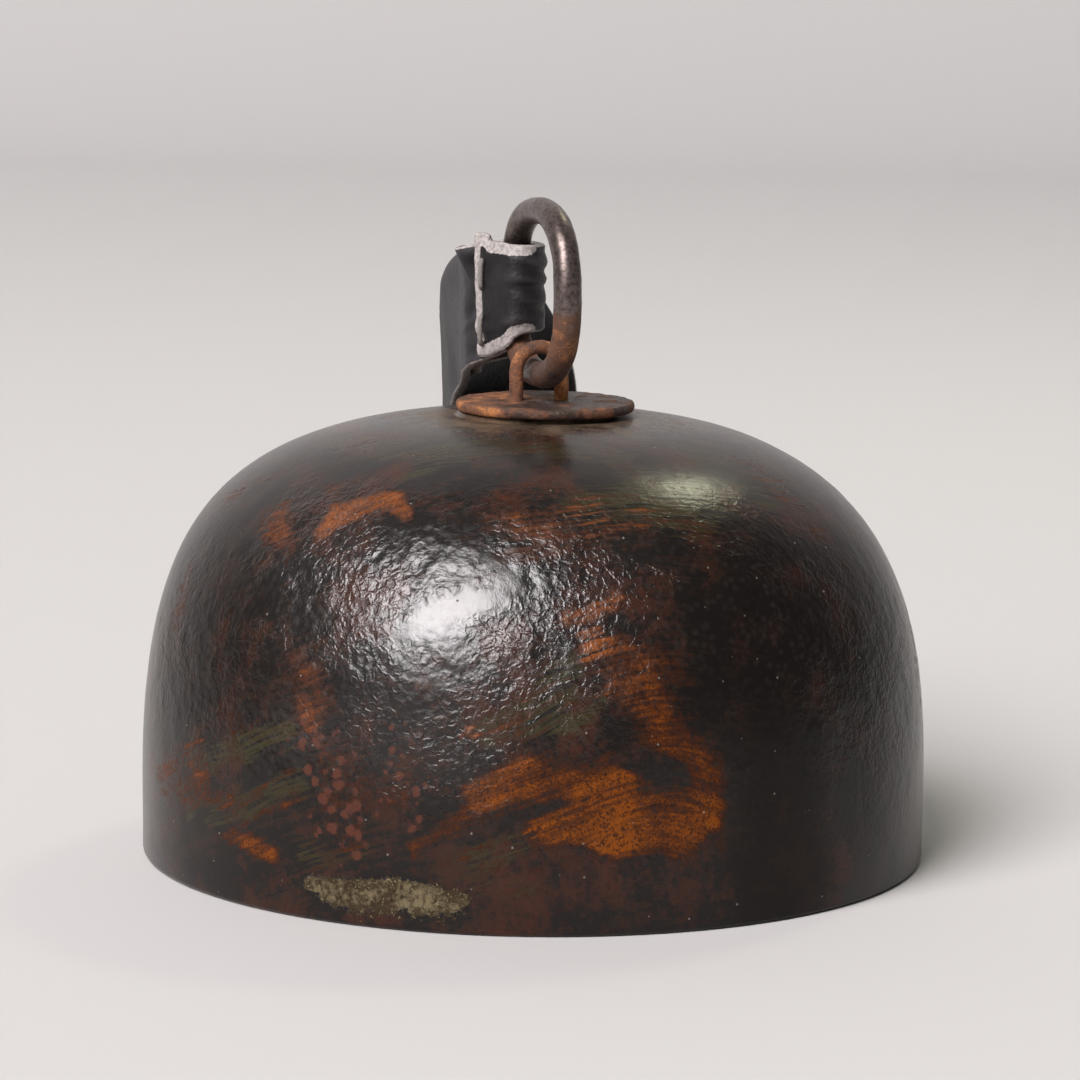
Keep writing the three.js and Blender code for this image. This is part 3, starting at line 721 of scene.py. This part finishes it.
def strokesMask(az, up, radius, strokes, wobble):
    total = np.zeros(len(az))
    for amount, spots in strokes:
        start = math.radians(spots[0][0])
        x = wrapped(az - start) * radius + wobble[0]
        y = up + wobble[1]
        far = np.full(len(az), 9.0)
        for (a0, u0, half0), (a1, u1, half1) in zip(spots[:-1], spots[1:]):
            awayX, awayY = x - (math.radians(a0) - start) * radius, y - u0
            lengthX, lengthY = math.radians(a1 - a0) * radius, u1 - u0
            share = (awayX * lengthX + awayY * lengthY) / (lengthX ** 2 + lengthY ** 2 + 1e-6)
            share = np.clip(share, 0, 1)
            gap = np.hypot(awayX - share * lengthX, awayY - share * lengthY)
            far = np.minimum(far, gap / (half0 + (half1 - half0) * share))
        total = np.maximum(total, amount * easeStep(-far, -1.75, -0.4))
    return total


def domeOutline(d):
    def crownLine(r, outer, height):
        return height * (1 - (r / outer) ** d["sideExponent"]) ** (1 / d["crownExponent"])

    def curve(outer, height, innermost):
        lowest = math.asin((crownLine(innermost, outer, height) / height) ** (d["crownExponent"] / 2))
        a = np.linspace(0, lowest, 600)
        across = outer * np.cos(a) ** (2 / d["sideExponent"])
        return np.stack([across, height * np.sin(a) ** (2 / d["crownExponent"])], 1)

    def spaced(line, pitch):
        return evenly(line, max(2, round(lengthAlong(line)[-1] / pitch) + 1))

    radius, b, flat, seat = d["radius"], d["rimRounding"], d["flatRadius"], d["seatRadius"]
    flatZ = crownLine(flat, radius, d["height"])
    seatZ, innerZ = flatZ + d["seatRise"], flatZ - d["crown"]
    outer = spaced(curve(radius, d["height"], flat)[3:], d["outerPitch"])
    innerRadius = radius - d["wall"]
    innerHeight = innerZ / crownLine(flat - d["wall"], innerRadius, 1)
    inner = spaced(curve(innerRadius, innerHeight, flat - d["wall"])[3:], d["innerPitch"])
    crown = spaced(np.array([(seat + 0.05, flatZ), (flat, flatZ)]), d["outerPitch"])[:-1]
    boss = np.array([(4, seatZ), (seat - 0.35, seatZ), (seat - 0.08, seatZ - 0.15)])
    turn = np.linspace(0, math.pi / 2, 5)
    outerLip = np.stack([radius - b + b * np.cos(turn), b - b * np.sin(turn)], 1)
    innerLip = np.stack([innerRadius + b - b * np.sin(turn), b - b * np.cos(turn)], 1)
    skin = np.vstack([boss, crown, outer[::-1], outerLip])
    line = np.vstack([skin, innerLip, inner, [(4, innerZ)]])
    keep = np.r_[True, np.linalg.norm(np.diff(line, axis=0), axis=1) > 0.02]
    outside = np.where(np.arange(len(line)) < len(skin), 1.0, 0.0)
    return line[keep], outside[keep], innerZ, seatZ


def domeMaterial(d):
    p = Paint("lacqueredBell")
    times, total, around, stepped, mixed = p.times, p.total, p.around, p.stepped, p.mixed
    rust, olive, crust, brass, dust, inside = (p.painted(name) for name in (
        "rust", "olive", "crust", "brass", "dust", "inside"))
    scratch, paintedShade, spots, polish = (p.painted(name) for name in ("scratch", "paintedShade", "spots", "polish"))
    brushes = p.put("TexNoise", {"Vector": p.painted("flow", "Vector"), "Scale": 1, "Detail": 4})
    streak = stepped(brushes.outputs["Fac"], 0.3, 0.7)
    fine = p.grain(0.9, 5, 0.65)
    tiny = p.grain(0.28, 3, 0.6)
    broad = p.grain(6, 4, 0.6)
    clouds = p.grain(15, 3, 0.6)
    # dark lacquer, clouded with brown and red brown; lit takes the clouds down where the painted shade lies
    lit = p.calc("SUBTRACT", 1.0, times(paintedShade, 0.85))
    cloud = stepped(total(broad, around(fine, 0.5), around(streak, 0.15)), 0.44, 0.7)
    colour = mixed(times(cloud, lit), d["lacquerDark"], d["lacquerBrown"])
    reddish = stepped(total(clouds, around(broad, 0.8), around(fine, 0.6)), 0.45, 0.75)
    colour = mixed(times(times(reddish, 0.85), lit), colour, d["lacquerRed"])
    # olive smears in brushed streaks
    brushed = times(around(streak, 1.0), total(times(olive, 0.9), 0.42))
    smear = stepped(total(olive, brushed, around(fine, 0.6), around(tiny, 0.3)), 0.35, 1.05)
    colour = mixed(times(smear, 0.92), colour, d["olive"])
    # rust that shows through: a brown halo, a dull ragged edge, and bright where it is strongest
    ragged = total(rust, around(fine, 2.1), around(broad, 1.0), around(tiny, 0.9), brushed)
    outer = stepped(ragged, 0.3, 0.95)
    mottled = total(rust, around(fine, 1.7), around(broad, 1.4), around(clouds, 0.7), brushed)
    colour = mixed(times(stepped(ragged, 0.05, 0.5), 0.8), colour, d["rustHalo"])
    rustColour = mixed(stepped(mottled, 0.55, 1.4), d["rustDull"], d["rustBright"])
    flecks = times(stepped(total(tiny, around(fine, 0.9)), 0.47, 0.66), 0.85)
    rustColour = mixed(flecks, rustColour, d["rustHalo"])
    colour = mixed(times(outer, 0.96), colour, rustColour)
    # little round red spots where the lacquer has blistered
    blister = times(p.cells(1.75), -1.5)
    spotted = stepped(total(times(spots, 0.74), around(fine, 1.1), blister), 0, 0.32)
    colour = mixed(times(spotted, 0.8), colour, d["redSpots"])
    # pits of the crust keep dark lacquer, its lumps are rubbed greyer
    rubbed = times(stepped(p.cells(1.15), 0.5, 0.15), crust)
    colour = mixed(times(rubbed, 0.3), colour, d["rubbedCrust"])
    # tan dust on the crown and pale specks all over
    dusty = times(stepped(total(dust, around(fine, 0.7), around(tiny, 0.4)), 0.2, 1.05), 0.7)
    colour = mixed(dusty, colour, d["dust"])
    specks = p.put("TexVoronoi", {"Vector": p.place, "Scale": 1 / (2.1 * mm)}).outputs
    small = stepped(specks["Distance"], 0.085, 0.045)
    rare = stepped(p.put("SeparateColor", {"Color": specks["Color"]}).outputs[0], 0.52, 0.6)
    chalky = stepped(total(scratch, around(fine, 1.6), around(tiny, 1.6)), 0.98, 1.12)
    speck = p.calc("MAXIMUM", times(small, rare), chalky)
    colour = mixed(times(speck, 0.65), colour, d["speck"])
    # bare brass where the lacquer has chipped off the rim
    bare = stepped(total(brass, around(fine, 1.7), around(broad, 0.5), around(tiny, 0.4)), 0.45, 0.66)
    curls = p.calc("ABSOLUTE", p.calc("SUBTRACT", p.grain(3.2, 1.5, 0.5), 0.5), 0.0)
    metal = mixed(stepped(total(broad, around(fine, 1.3)), 0.3, 0.6), d["bareBrass"], d["brownBrass"])
    glints = stepped(total(tiny, around(fine, 0.4)), 0.6, 0.68)
    metal = mixed(times(glints, 0.5), metal, d["brassGlint"])
    metal = mixed(times(stepped(curls, 0.022, 0.006), 0.45), metal, d["brassCrack"])
    colour = mixed(bare, colour, metal)
    # inside: bare cast metal gone brown
    browned = stepped(total(broad, around(fine, 0.5)), 0.35, 0.7)
    colour = mixed(inside, colour, mixed(browned, d["insideDark"], d["insidePale"]))

    roughness = total(d["roughness"], times(outer, 0.13), times(dusty, 0.35), around(fine, 0.12))
    roughness = total(roughness, times(speck, 0.3), times(inside, 0.25))
    metallic = p.calc("MAXIMUM", times(bare, 0.75), times(inside, 0.5))
    # shine: raised where polished, lowered under the painted shade and over rust
    shine = total(d["shine"], times(polish, 0.5), times(paintedShade, -0.12), times(outer, -0.12))
    # crust: lumps with sharp little edges, torn open here and there
    tear = p.put("TexNoise", {"Vector": p.place, "Scale": 1 / (1.1 * mm), "Detail": 3}).outputs["Color"]
    pull = {0: tear, 1: (1.3 * mm,) * 3, 2: p.place}
    torn = p.put("VectorMath", pull, operation="MULTIPLY_ADD").outputs[0]
    flakes = stepped(p.cells(1.25, "DISTANCE_TO_EDGE", torn), 0.2, 0.02)
    flakes = times(flakes, stepped(total(broad, around(clouds, 1.2)), 0.27, 0.56))
    rough = total(times(p.cells(0.95, "SMOOTH_F1"), -0.7), times(flakes, 0.37), times(fine, 0.7))
    height = total(times(rough, total(times(crust, 0.95), 0.08)), times(tiny, 0.12))
    height = total(height, times(times(streak, olive), 0.1), times(speck, 0.6), times(bare, -0.7))
    values = {"Base Color": colour, "Roughness": roughness, "Metallic": metallic}
    return p.finish({**values, "Specular IOR Level": shine}, height, d["bumpDepth"], 0.85)


def buildDome(d):
    line, outside, innerZ, seatZ = domeOutline(d)
    columns = d["columns"]
    slope = unit(np.gradient(line, axis=0))
    az, r, z = turnedRound(line, columns)  # az is 0 at the front, positive to the right
    out, nr, nz = (eachColumn(v, columns) for v in (outside, -slope[:, 1], slope[:, 0]))
    spread = np.stack([np.sin(az), -np.cos(az)], 1)
    base = np.column_stack([spread * r[:, None], z])
    # height up the skin from the rim
    steps = lengthAlong(line)
    rimRow = int(np.argmax(line[:, 0] * outside - 1e3 * (line[:, 1] > 2)))
    up = np.where(out > 0.5, np.maximum(eachColumn(steps[rimRow] - steps, columns), 0), -5)
    wobble = [patches(base, 7, 31 + k, 4, 5.5) for k in (0, 7)]

    def mask(strokes, share=1):
        return strokesMask(az, up, r, strokes, [w * share for w in wobble])
    paintedShade = mask(paintedShadeStrokes)
    values = {
        "olive": mask(oliveStrokes) * (0.65 + 0.7 * layeredNoise(base, 9, 83, 3)),
        "polish": mask(polishStrokes),
        "paintedShade": paintedShade,
        "spots": mask(spotStrokes),
        "scratch": mask(scratchStrokes, 0.15),
        "dust": easeStep(up + wobble[0] * 1.6, 62, 79) * (0.25 + 0.75 * layeredNoise(base, 3, 101, 3)),
        "inside": 1 - out,
    }
    patchy = layeredNoise(base, 6, 71, 4)
    rust = mask(rustStrokes) * (0.7 + 0.6 * patchy) + (patchy - 0.6) * 0.35
    # the painted shade also takes rust away
    rust = rust - mask(darkStrokes, 0.4) - 0.35 * paintedShade
    crust = np.clip(mask(crustStrokes) - mask(smoothStrokes), 0, 1)
    crust = crust * (0.55 + 0.75 * layeredNoise(base, 8, 91, 3))
    brass = mask(brassStrokes, 0.4)
    # brushed streaks lean as the nearest streak places say
    slopeSum, weightSum = np.zeros(len(az)), np.full(len(az), 1e-3)
    for centre, height, reach, rise in streakPlaces:
        away = wrapped(az - math.radians(centre)) * d["radius"]
        near = np.exp(-(away ** 2 + (up - height) ** 2) / reach ** 2)
        slopeSum += near * rise
        weightSum += near
    lift = up - slopeSum / weightSum * wrapped(az) * d["radius"]
    around = d["radius"] / d["streakLength"]
    across = (lift + wobble[0] * 0.3) / d["streakWidth"]
    flow = np.column_stack([np.sin(az) * around, np.cos(az) * around, across])

    # relief: waviness of hand work, then the crust's lumps and flakes
    onSkin = easeStep(up, 0.4, 3) * easeStep(r, 13.6, 17)
    wavy = patches(base, 26, 131, 2, d["waviness"])
    leaning = -np.sin(az) * np.exp(-((up - 46) / 17) ** 2) * d["shoulderLean"]
    lumps = patches(base, 1.7, 141, 2)
    ridges = 1 - np.abs(patches(base, 3.1, 151)) * 5
    flakes = easeStep(layeredNoise(base, 4.4, 161, 4), 0.49, 0.54)
    relief = crust * (lumps * 1.1 + np.clip(ridges, -1, 1) * 0.22 + flakes * 0.45 - 0.25) * d["crustRise"]
    relief = relief + patches(base, 2.6, 171, 2, 0.05)
    relief = relief - 0.16 * easeStep(brass + patches(base, 2.2, 181, 3, 0.6), 0.4, 0.55)
    relief = np.clip(relief, -0.3, 0.3)
    inner = (1 - out) * easeStep(z, 1.2, 5) * easeStep(r, 10, 14)
    move = onSkin * out * (wavy + leaning + relief) + inner * patches(base, 5, 191, 3, 0.25)
    points = np.column_stack([base[:, :2] + spread * (nr * move)[:, None], z + nz * move])

    faces = gridFaces(len(line), columns)
    endFans(faces, len(points), len(line), columns)
    points = np.vstack([points, (0, 0, seatZ), (0, 0, innerZ)])
    values.update({"rust": np.where(out > 0.5, rust, 0), "crust": crust, "brass": brass, "flow": flow})
    values = {key: np.concatenate([data, data[:1], data[-1:]]) for key, data in values.items()}
    return points * mm, faces, values


points, faces, values = buildDome(dome)
makePiece("bellSkin", points, faces, domeMaterial(dome), "bell", ["bell_dome"], values)
print("dome made, %d points" % len(points))

# ironwork: heights and sizes as in the solids, in millimetres
iron = {
    "turn": 18,
    "x": 0.1,
    "ringBarZ": 61.196,
    "ringHalfWidth": 11.1,
    "ringHalfHeight": 10.3,
    "ringSquareness": 2.4,
    "ringBar": 1.75,
    "staple": 0.9,
    "stapleHalf": 3.0,
    "stapleRise": 3.4,
    "clinchLength": 5.5,
    "clinchZ": 50.196,
    "loopZ": 47.296,
    "loopRise": 0.4,
}
turnIron = math.radians(iron["turn"])


def toWorld(points):
    c, s = math.cos(turnIron), math.sin(turnIron)
    p = np.asarray(points, float)
    return np.column_stack([iron["x"] + p[:, 0] * c - p[:, 1] * s, p[:, 0] * s + p[:, 1] * c, p[:, 2]])


# three irons, by how much rust they have
ironLooks = {
    "rustyIron": {
        "slot": "rusty_iron", "roughness": 0.4, "bumpDepth": 0.2, "metallic": 0.3,
        "dark": (0.062, 0.036, 0.027), "rustDull": (0.15, 0.062, 0.032), "rustBright": (0.43, 0.17, 0.055),
    },
    "forgedIron": {
        "slot": "forged_iron", "roughness": 0.27, "bumpDepth": 0.05, "metallic": 0.75,
        "dark": (0.15, 0.118, 0.108), "rustDull": (0.085, 0.038, 0.021), "rustBright": (0.29, 0.115, 0.045),
    },
    "innerIron": {
        "slot": "inner_iron", "roughness": 0.42, "bumpDepth": 0.12, "metallic": 0.5,
        "dark": (0.075, 0.06, 0.05), "rustDull": (0.10, 0.052, 0.032), "rustBright": (0.21, 0.095, 0.045),
    },
}


def ironMaterial(name, look):
    p = Paint(name)
    fine, tiny, broad = p.grain(0.6, 5, 0.65), p.grain(0.2, 3, 0.6), p.grain(2.6, 4, 0.6)
    spread = p.total(p.painted("rust"), p.around(broad, 1.1), p.around(fine, 0.7))
    outer = p.stepped(spread, 0.35, 0.7)
    bright = p.stepped(p.total(spread, p.around(tiny, 1.0)), 0.7, 1.15)
    darker = tuple(v * 0.45 for v in look["dark"])
    scale = p.mixed(p.stepped(fine, 0.4, 0.65), look["dark"], darker)
    colour = p.mixed(outer, scale, p.mixed(bright, look["rustDull"], look["rustBright"]))
    pocks = p.stepped(p.cells(0.5), 0.28, 0.12)
    colour = p.mixed(p.times(pocks, 0.35), colour, tuple(v * 0.4 for v in look["rustDull"]))
    roughness = p.total(look["roughness"], p.times(outer, 0.38), p.times(fine, 0.14))
    metallic = p.times(p.calc("SUBTRACT", 1.0, outer), look["metallic"])
    height = p.total(p.times(fine, 0.8), p.times(p.times(tiny, outer), 0.7), p.times(pocks, -0.35))
    values = {"Base Color": colour, "Roughness": roughness, "Metallic": metallic}
    return p.finish(values, height, look["bumpDepth"], 0.9)


irons = {name: ironMaterial(name, look) for name, look in ironLooks.items()}


# a piece of iron; its rust is a level and patches about it
def ironPiece(name, body, node, kind, points, faces, rust, *noise):
    slot, values = ironLooks[kind]["slot"], {"rust": rust + patches(points, *noise)}
    makePiece(name, points * mm, faces, irons[kind], body, [node], values)


# both washers, in millimetres, flat pieces with a worn round edge
washers = {
    "outer": {"radius": 11.7, "thickness": 1.3, "x": 1, "z": 56.546, "wave": 0.26, "seed": 211},
    "inner": {"radius": 9, "thickness": 1, "x": 0, "z": 51.446, "wave": 0.1, "seed": 223},
    "columns": 220,
    "rows": 26,
}


def buildWasher(w):
    columns, radius, t = washers["columns"], w["radius"], w["thickness"]
    radii = np.linspace(0.02, 1, washers["rows"]) ** 0.8
    reach = [radius * k - t * 0.25 * (k > 0.999) for k in radii]
    turn = np.linspace(0, math.pi, 9)[1:-1]
    side = [(radius - t * 0.3 + t * 0.3 * math.sin(a), t / 2 + t / 2 * math.cos(a)) for a in turn]
    line = np.array([(r, t) for r in reach] + side + [(r, 0) for r in reach[::-1]])
    a, r, z = turnedRound(line, columns)
    share = r / radius
    r = r - share ** 3 * w["wave"] * 2.2 * layeredNoise(aroundAxis(a, 4, a * 0), 2.2, w["seed"], 3)
    skin = aroundAxis(a, r, z)
    bow = (layeredNoise(skin, 6, w["seed"] + 3, 2) - 0.62) * w["wave"] * share ** 2
    pits = np.minimum((layeredNoise(skin, 0.9, w["seed"] + 5, 3) - 0.62) * 0.24, 0)
    z = z + (z > t * 0.5) * (bow + pits) - (z < t * 0.5) * pits * 0.5
    points = np.vstack([aroundAxis(a, r, z), (0, 0, t - 0.02), (0, 0, 0)])
    faces = gridFaces(len(line), columns)
    endFans(faces, len(r), len(line), columns, True)
    return points + (w["x"], 0, w["z"]), faces


points, faces = buildWasher(washers["outer"])
# partly rust and partly a painted highlight: the washer is rustier, so oranger, towards its left side,
# which faces the lamp
rust = 0.4 + 0.45 * easeStep(-points[:, 0], -1, 9)
ironPiece("crownWasherPlate", "bell", "crown_washer", "rustyIron", points, faces, rust, 2.4, 7, 3, 1.3)
points, faces = buildWasher(washers["inner"])
ironPiece("innerWasherPlate", "bell", "inner_washer", "innerIron", points, faces, 0.3, 3, 9, 3, 0.9)
print("washers made")


def arcPoints(centreZ, radius, start, end, count):
    a = np.linspace(start, end, count)
    return [(radius * math.cos(v), 0, centreZ + radius * math.sin(v)) for v in a]


def buildStaple(i):
    half, clinchZ, topZ = i["stapleHalf"], i["clinchZ"], i["ringBarZ"] + i["stapleRise"]
    bend = i["staple"] * 1.3
    path = [(-half - i["clinchLength"], 0, clinchZ), (-half - bend * 1.6, 0, clinchZ)]
    path += [(-half - bend * 0.25, 0, clinchZ + bend * 0.25), (-half, 0, clinchZ + bend * 1.4)]
    path += [(-half, 0, z) for z in np.linspace(clinchZ + 4, topZ - half - 0.5, 5)]
    path += arcPoints(topZ - half, half, math.pi, 0, 9)
    path += [(half, 0, z) for z in np.linspace(topZ - half - 0.8, i["loopZ"] + 0.8, 7)]
    path += arcPoints(i["loopZ"], half, 0, -math.pi, 9)
    path += [(-half, 0, i["loopZ"] + i["loopRise"])]
    return smoothLine(path, 420)


def handForged(seed, amount, size=1.6):
    def swell(points):
        return (layeredNoise(points, size, seed, 3) - 0.56) * amount
    return swell


points, faces = sweptBar(toWorld(buildStaple(iron)), iron["staple"], 28, handForged(301, 0.22))
legSide = (points[:, 0] - iron["x"]) * math.cos(turnIron) + points[:, 1] * math.sin(turnIron)
rust = np.where(points[:, 2] > 56, 0.75 + 0.35 * easeStep(legSide, 0.5, 3), 0.35)
ironPiece("stapleRod", "bell", "hanger_staple", "rustyIron", points, faces, rust, 2, 307, 3, 0.7)
print("staple made")


def buildRing(i):
    a = fullTurn(4000)

    def shaped(v):
        return np.sign(v) * np.abs(v) ** (2 / i["ringSquareness"])
    across, up = i["ringHalfWidth"] * shaped(np.cos(a)), i["ringHalfHeight"] * (1 + shaped(np.sin(a)))
    line = np.column_stack([a * 0, across, i["ringBarZ"] + up])
    return evenly(np.vstack([line, line[0]]), 361)[:-1]


facing = (math.cos(turnIron), math.sin(turnIron), 0)
forged = handForged(401, 0.13, 3.4)
points, faces = sweptBar(toWorld(buildRing(iron)), iron["ringBar"], 48, forged, True, facing)
down = -points[:, 2]
rust = easeStep(down, -74, -69) * 0.8 - easeStep(down, -66, -62) * 0.25
ironPiece("ringBar", "ring", "carrying_ring", "forgedIron", points, faces, rust, 5, 409, 3, 0.7)
print("ring made")

# what hangs inside, in millimetres, all sizes as in the solids
clapper = {
    "linkTopZ": 44.296,
    "linkPitch": 3.4,
    "linkHalf": 2.25,
    "linkBar": 0.9,
    "eyeZ": 37.896,
    "eyeRadius": 3,
    "eyeBar": 1,
    "rod": 1.5,
    "rodEndZ": 2.4,
    "rivetHeight": 1.4,
    "rivetRadius": 2.6,
    "strikerBottomZ": 3.85,
    "strikerHeight": 18,
    "strikerRadius": 12,
    "strikerShoulder": 1.6,
    "strikerWidest": 0.42,
    "bore": 1.675,
    "collarRadius": 2.8,
    "collarHeight": 1.2,
}


def turnedPiece(line, columns, seed, amount):
    a, r, z = turnedRound(line, columns)
    r = r * (1 + (layeredNoise(aroundAxis(a, r, z), 2.4, seed, 3) - 0.6) * amount)
    return aroundAxis(a, r, z) + (iron["x"], 0, 0), gridFaces(len(line), columns)


def refined(line, pitch):
    line = np.array(line, float)
    out = [line[0]]
    for a, b in zip(line[:-1], line[1:]):
        n = max(1, math.ceil(np.linalg.norm(b - a) / pitch))
        out += [a + (b - a) * k / n for k in range(1, n + 1)]
    return np.array(out)


def buildLink(c):
    line = []
    for end in (0, 1):
        centreZ = c["linkTopZ"] - end * c["linkPitch"]
        for a in np.linspace(0, math.pi, 14) + math.pi * end:
            line.append((0, c["linkHalf"] * math.cos(a), centreZ + c["linkHalf"] * math.sin(a)))
    return toWorld(smoothLine(line, 150, True))


# link, rod with its eye, and striker
c = clapper
points, faces = sweptBar(buildLink(c), c["linkBar"], 24, handForged(501, 0.12), True, (1, 0.3, 0))
ironPiece("linkBar", "link", "clapper_link", "innerIron", points, faces, 0.3, 2, 503)
eyeLine = toWorld(arcPoints(c["eyeZ"], c["eyeRadius"], 0, 2 * math.pi, 141)[:-1])
points, faces = sweptBar(eyeLine, c["eyeBar"], 24, handForged(511, 0.1), True, (-0.3, 0.95, 0))
ironPiece("clapperEye", "clapper", "clapper_rod", "innerIron", points, faces, 0.3, 2, 513)
rivetZ = c["rodEndZ"] + c["rivetHeight"]
strikerTopZ = c["strikerBottomZ"] + c["strikerHeight"]
collarZ = strikerTopZ + 0.05
endZ, eyeZ = c["rodEndZ"], c["eyeZ"] - c["eyeRadius"]
rod, rivet, collar = c["rod"], c["rivetRadius"], c["collarRadius"]
rodOutline = refined([
    (0.05, endZ),
    (rivet * 0.7, endZ),
    (rivet * 0.95, endZ + 0.3),
    (rivet, rivetZ - 0.5),
    (rivet, rivetZ),
    (rod, rivetZ),
    (rod, collarZ),
    (collar, collarZ),
    (collar, collarZ + c["collarHeight"] * 0.6),
    (rod, collarZ + c["collarHeight"]),
    (c["eyeBar"], eyeZ),
    (0.05, eyeZ + 0.1),
], 0.5)
points, faces = turnedPiece(rodOutline, 40, 521, 0.08)
ironPiece("clapperRod", "clapper", "clapper_rod", "innerIron", points, faces, 0.35, 3, 523)
shares, widest = (1 - np.cos(np.linspace(0, math.pi, 40))) / 2, c["strikerWidest"]
reach = np.maximum((widest - shares) / widest, (shares - widest) / (1 - widest))
endRadius = c["bore"] + c["strikerShoulder"]
bulge = endRadius + (c["strikerRadius"] - endRadius) * np.sqrt(np.clip(1 - reach ** 2, 0, 1))
start = (c["bore"], c["strikerBottomZ"])
heights = c["strikerBottomZ"] + shares * c["strikerHeight"]
strikerOutline = refined([start, *zip(bulge, heights), (c["bore"], strikerTopZ), start], 0.8)
points, faces = turnedPiece(strikerOutline, 128, 531, 0.035)
ironPiece("strikerWeight", "clapper", "clapper_striker", "innerIron", points, faces, 0.25, 6, 533, 4)
print("clapper made")

# a pale floor and soft studio light
studio = {
    "floorSize": 60,
    "wallBehind": 2.2,
    "wallCurve": 0.7,
    "wallTop": 6,
    "floorColour": (0.59, 0.583, 0.572),
    "floorRoughness": 0.8,
    "floorShine": 0.2,
    "worldColour": (0.78, 0.79, 0.80),
    "worldStrength": 0.17,
    "aimHeight": 0.03,
}


def makeFloor(s):
    half, wall, curve = s["floorSize"] / 2, s["wallBehind"], s["wallCurve"]
    line = [(-half, 0)]
    for a in np.linspace(0, math.pi / 2, 25):
        line.append((wall - curve + curve * math.sin(a), curve - curve * math.cos(a)))
    line.append((wall, s["wallTop"]))
    points = [(x, y, z) for y, z in line for x in (-half, half)]
    faces = [(i, i + 1, i + 3, i + 2) for i in range(0, len(points) - 2, 2)]
    p = Paint("paleFloor")
    values = {"Base Color": (*s["floorColour"], 1), "Roughness": s["floorRoughness"]}
    p.fill(p.shader, {**values, "Specular IOR Level": s["floorShine"]})
    addMesh("floorSheet", points, faces, p.made)


def makeWorld(s):
    world = bpy.data.worlds.new("softRoom")
    scene.world = world
    world.use_nodes = True
    inputs = world.node_tree.nodes["Background"].inputs
    inputs["Color"].default_value = (*s["worldColour"], 1)
    inputs["Strength"].default_value = s["worldStrength"]


def makeLamp(name, azimuth, elevation, distance, width, height, power, colour):
    a, e = math.radians(azimuth), math.radians(elevation)
    aim = Vector((0, 0, studio["aimHeight"]))
    away = Vector((math.sin(a) * math.cos(e), -math.cos(a) * math.cos(e), math.sin(e)))
    data = bpy.data.lights.new(name, "AREA")
    data.shape = "ELLIPSE"
    data.size, data.size_y, data.energy, data.color = width, height, power, colour
    item = addObject(name, data)
    item.location = aim + away * distance
    item.rotation_mode = "QUATERNION"
    item.rotation_quaternion = (-away).to_track_quat("-Z", "Y")


# name, azimuth and elevation in degrees, distance, width, height, power and colour
lamps = [
    ("softWindow", -33, 43, 5, 3.0, 3.2, 355, (1, 0.955, 0.965)),
    ("windowGlow", -34, 25, 5, 4.0, 2.4, 53, (1, 0.965, 0.965)),
    ("backLamp", 148, 50, 0.9, 0.11, 0.08, 0.72, (1, 1, 0.72)),
]
makeFloor(studio)
makeWorld(studio)
for lamp in lamps:
    makeLamp(*lamp)
scene.view_settings.view_transform = "Standard"
print("studio lit")
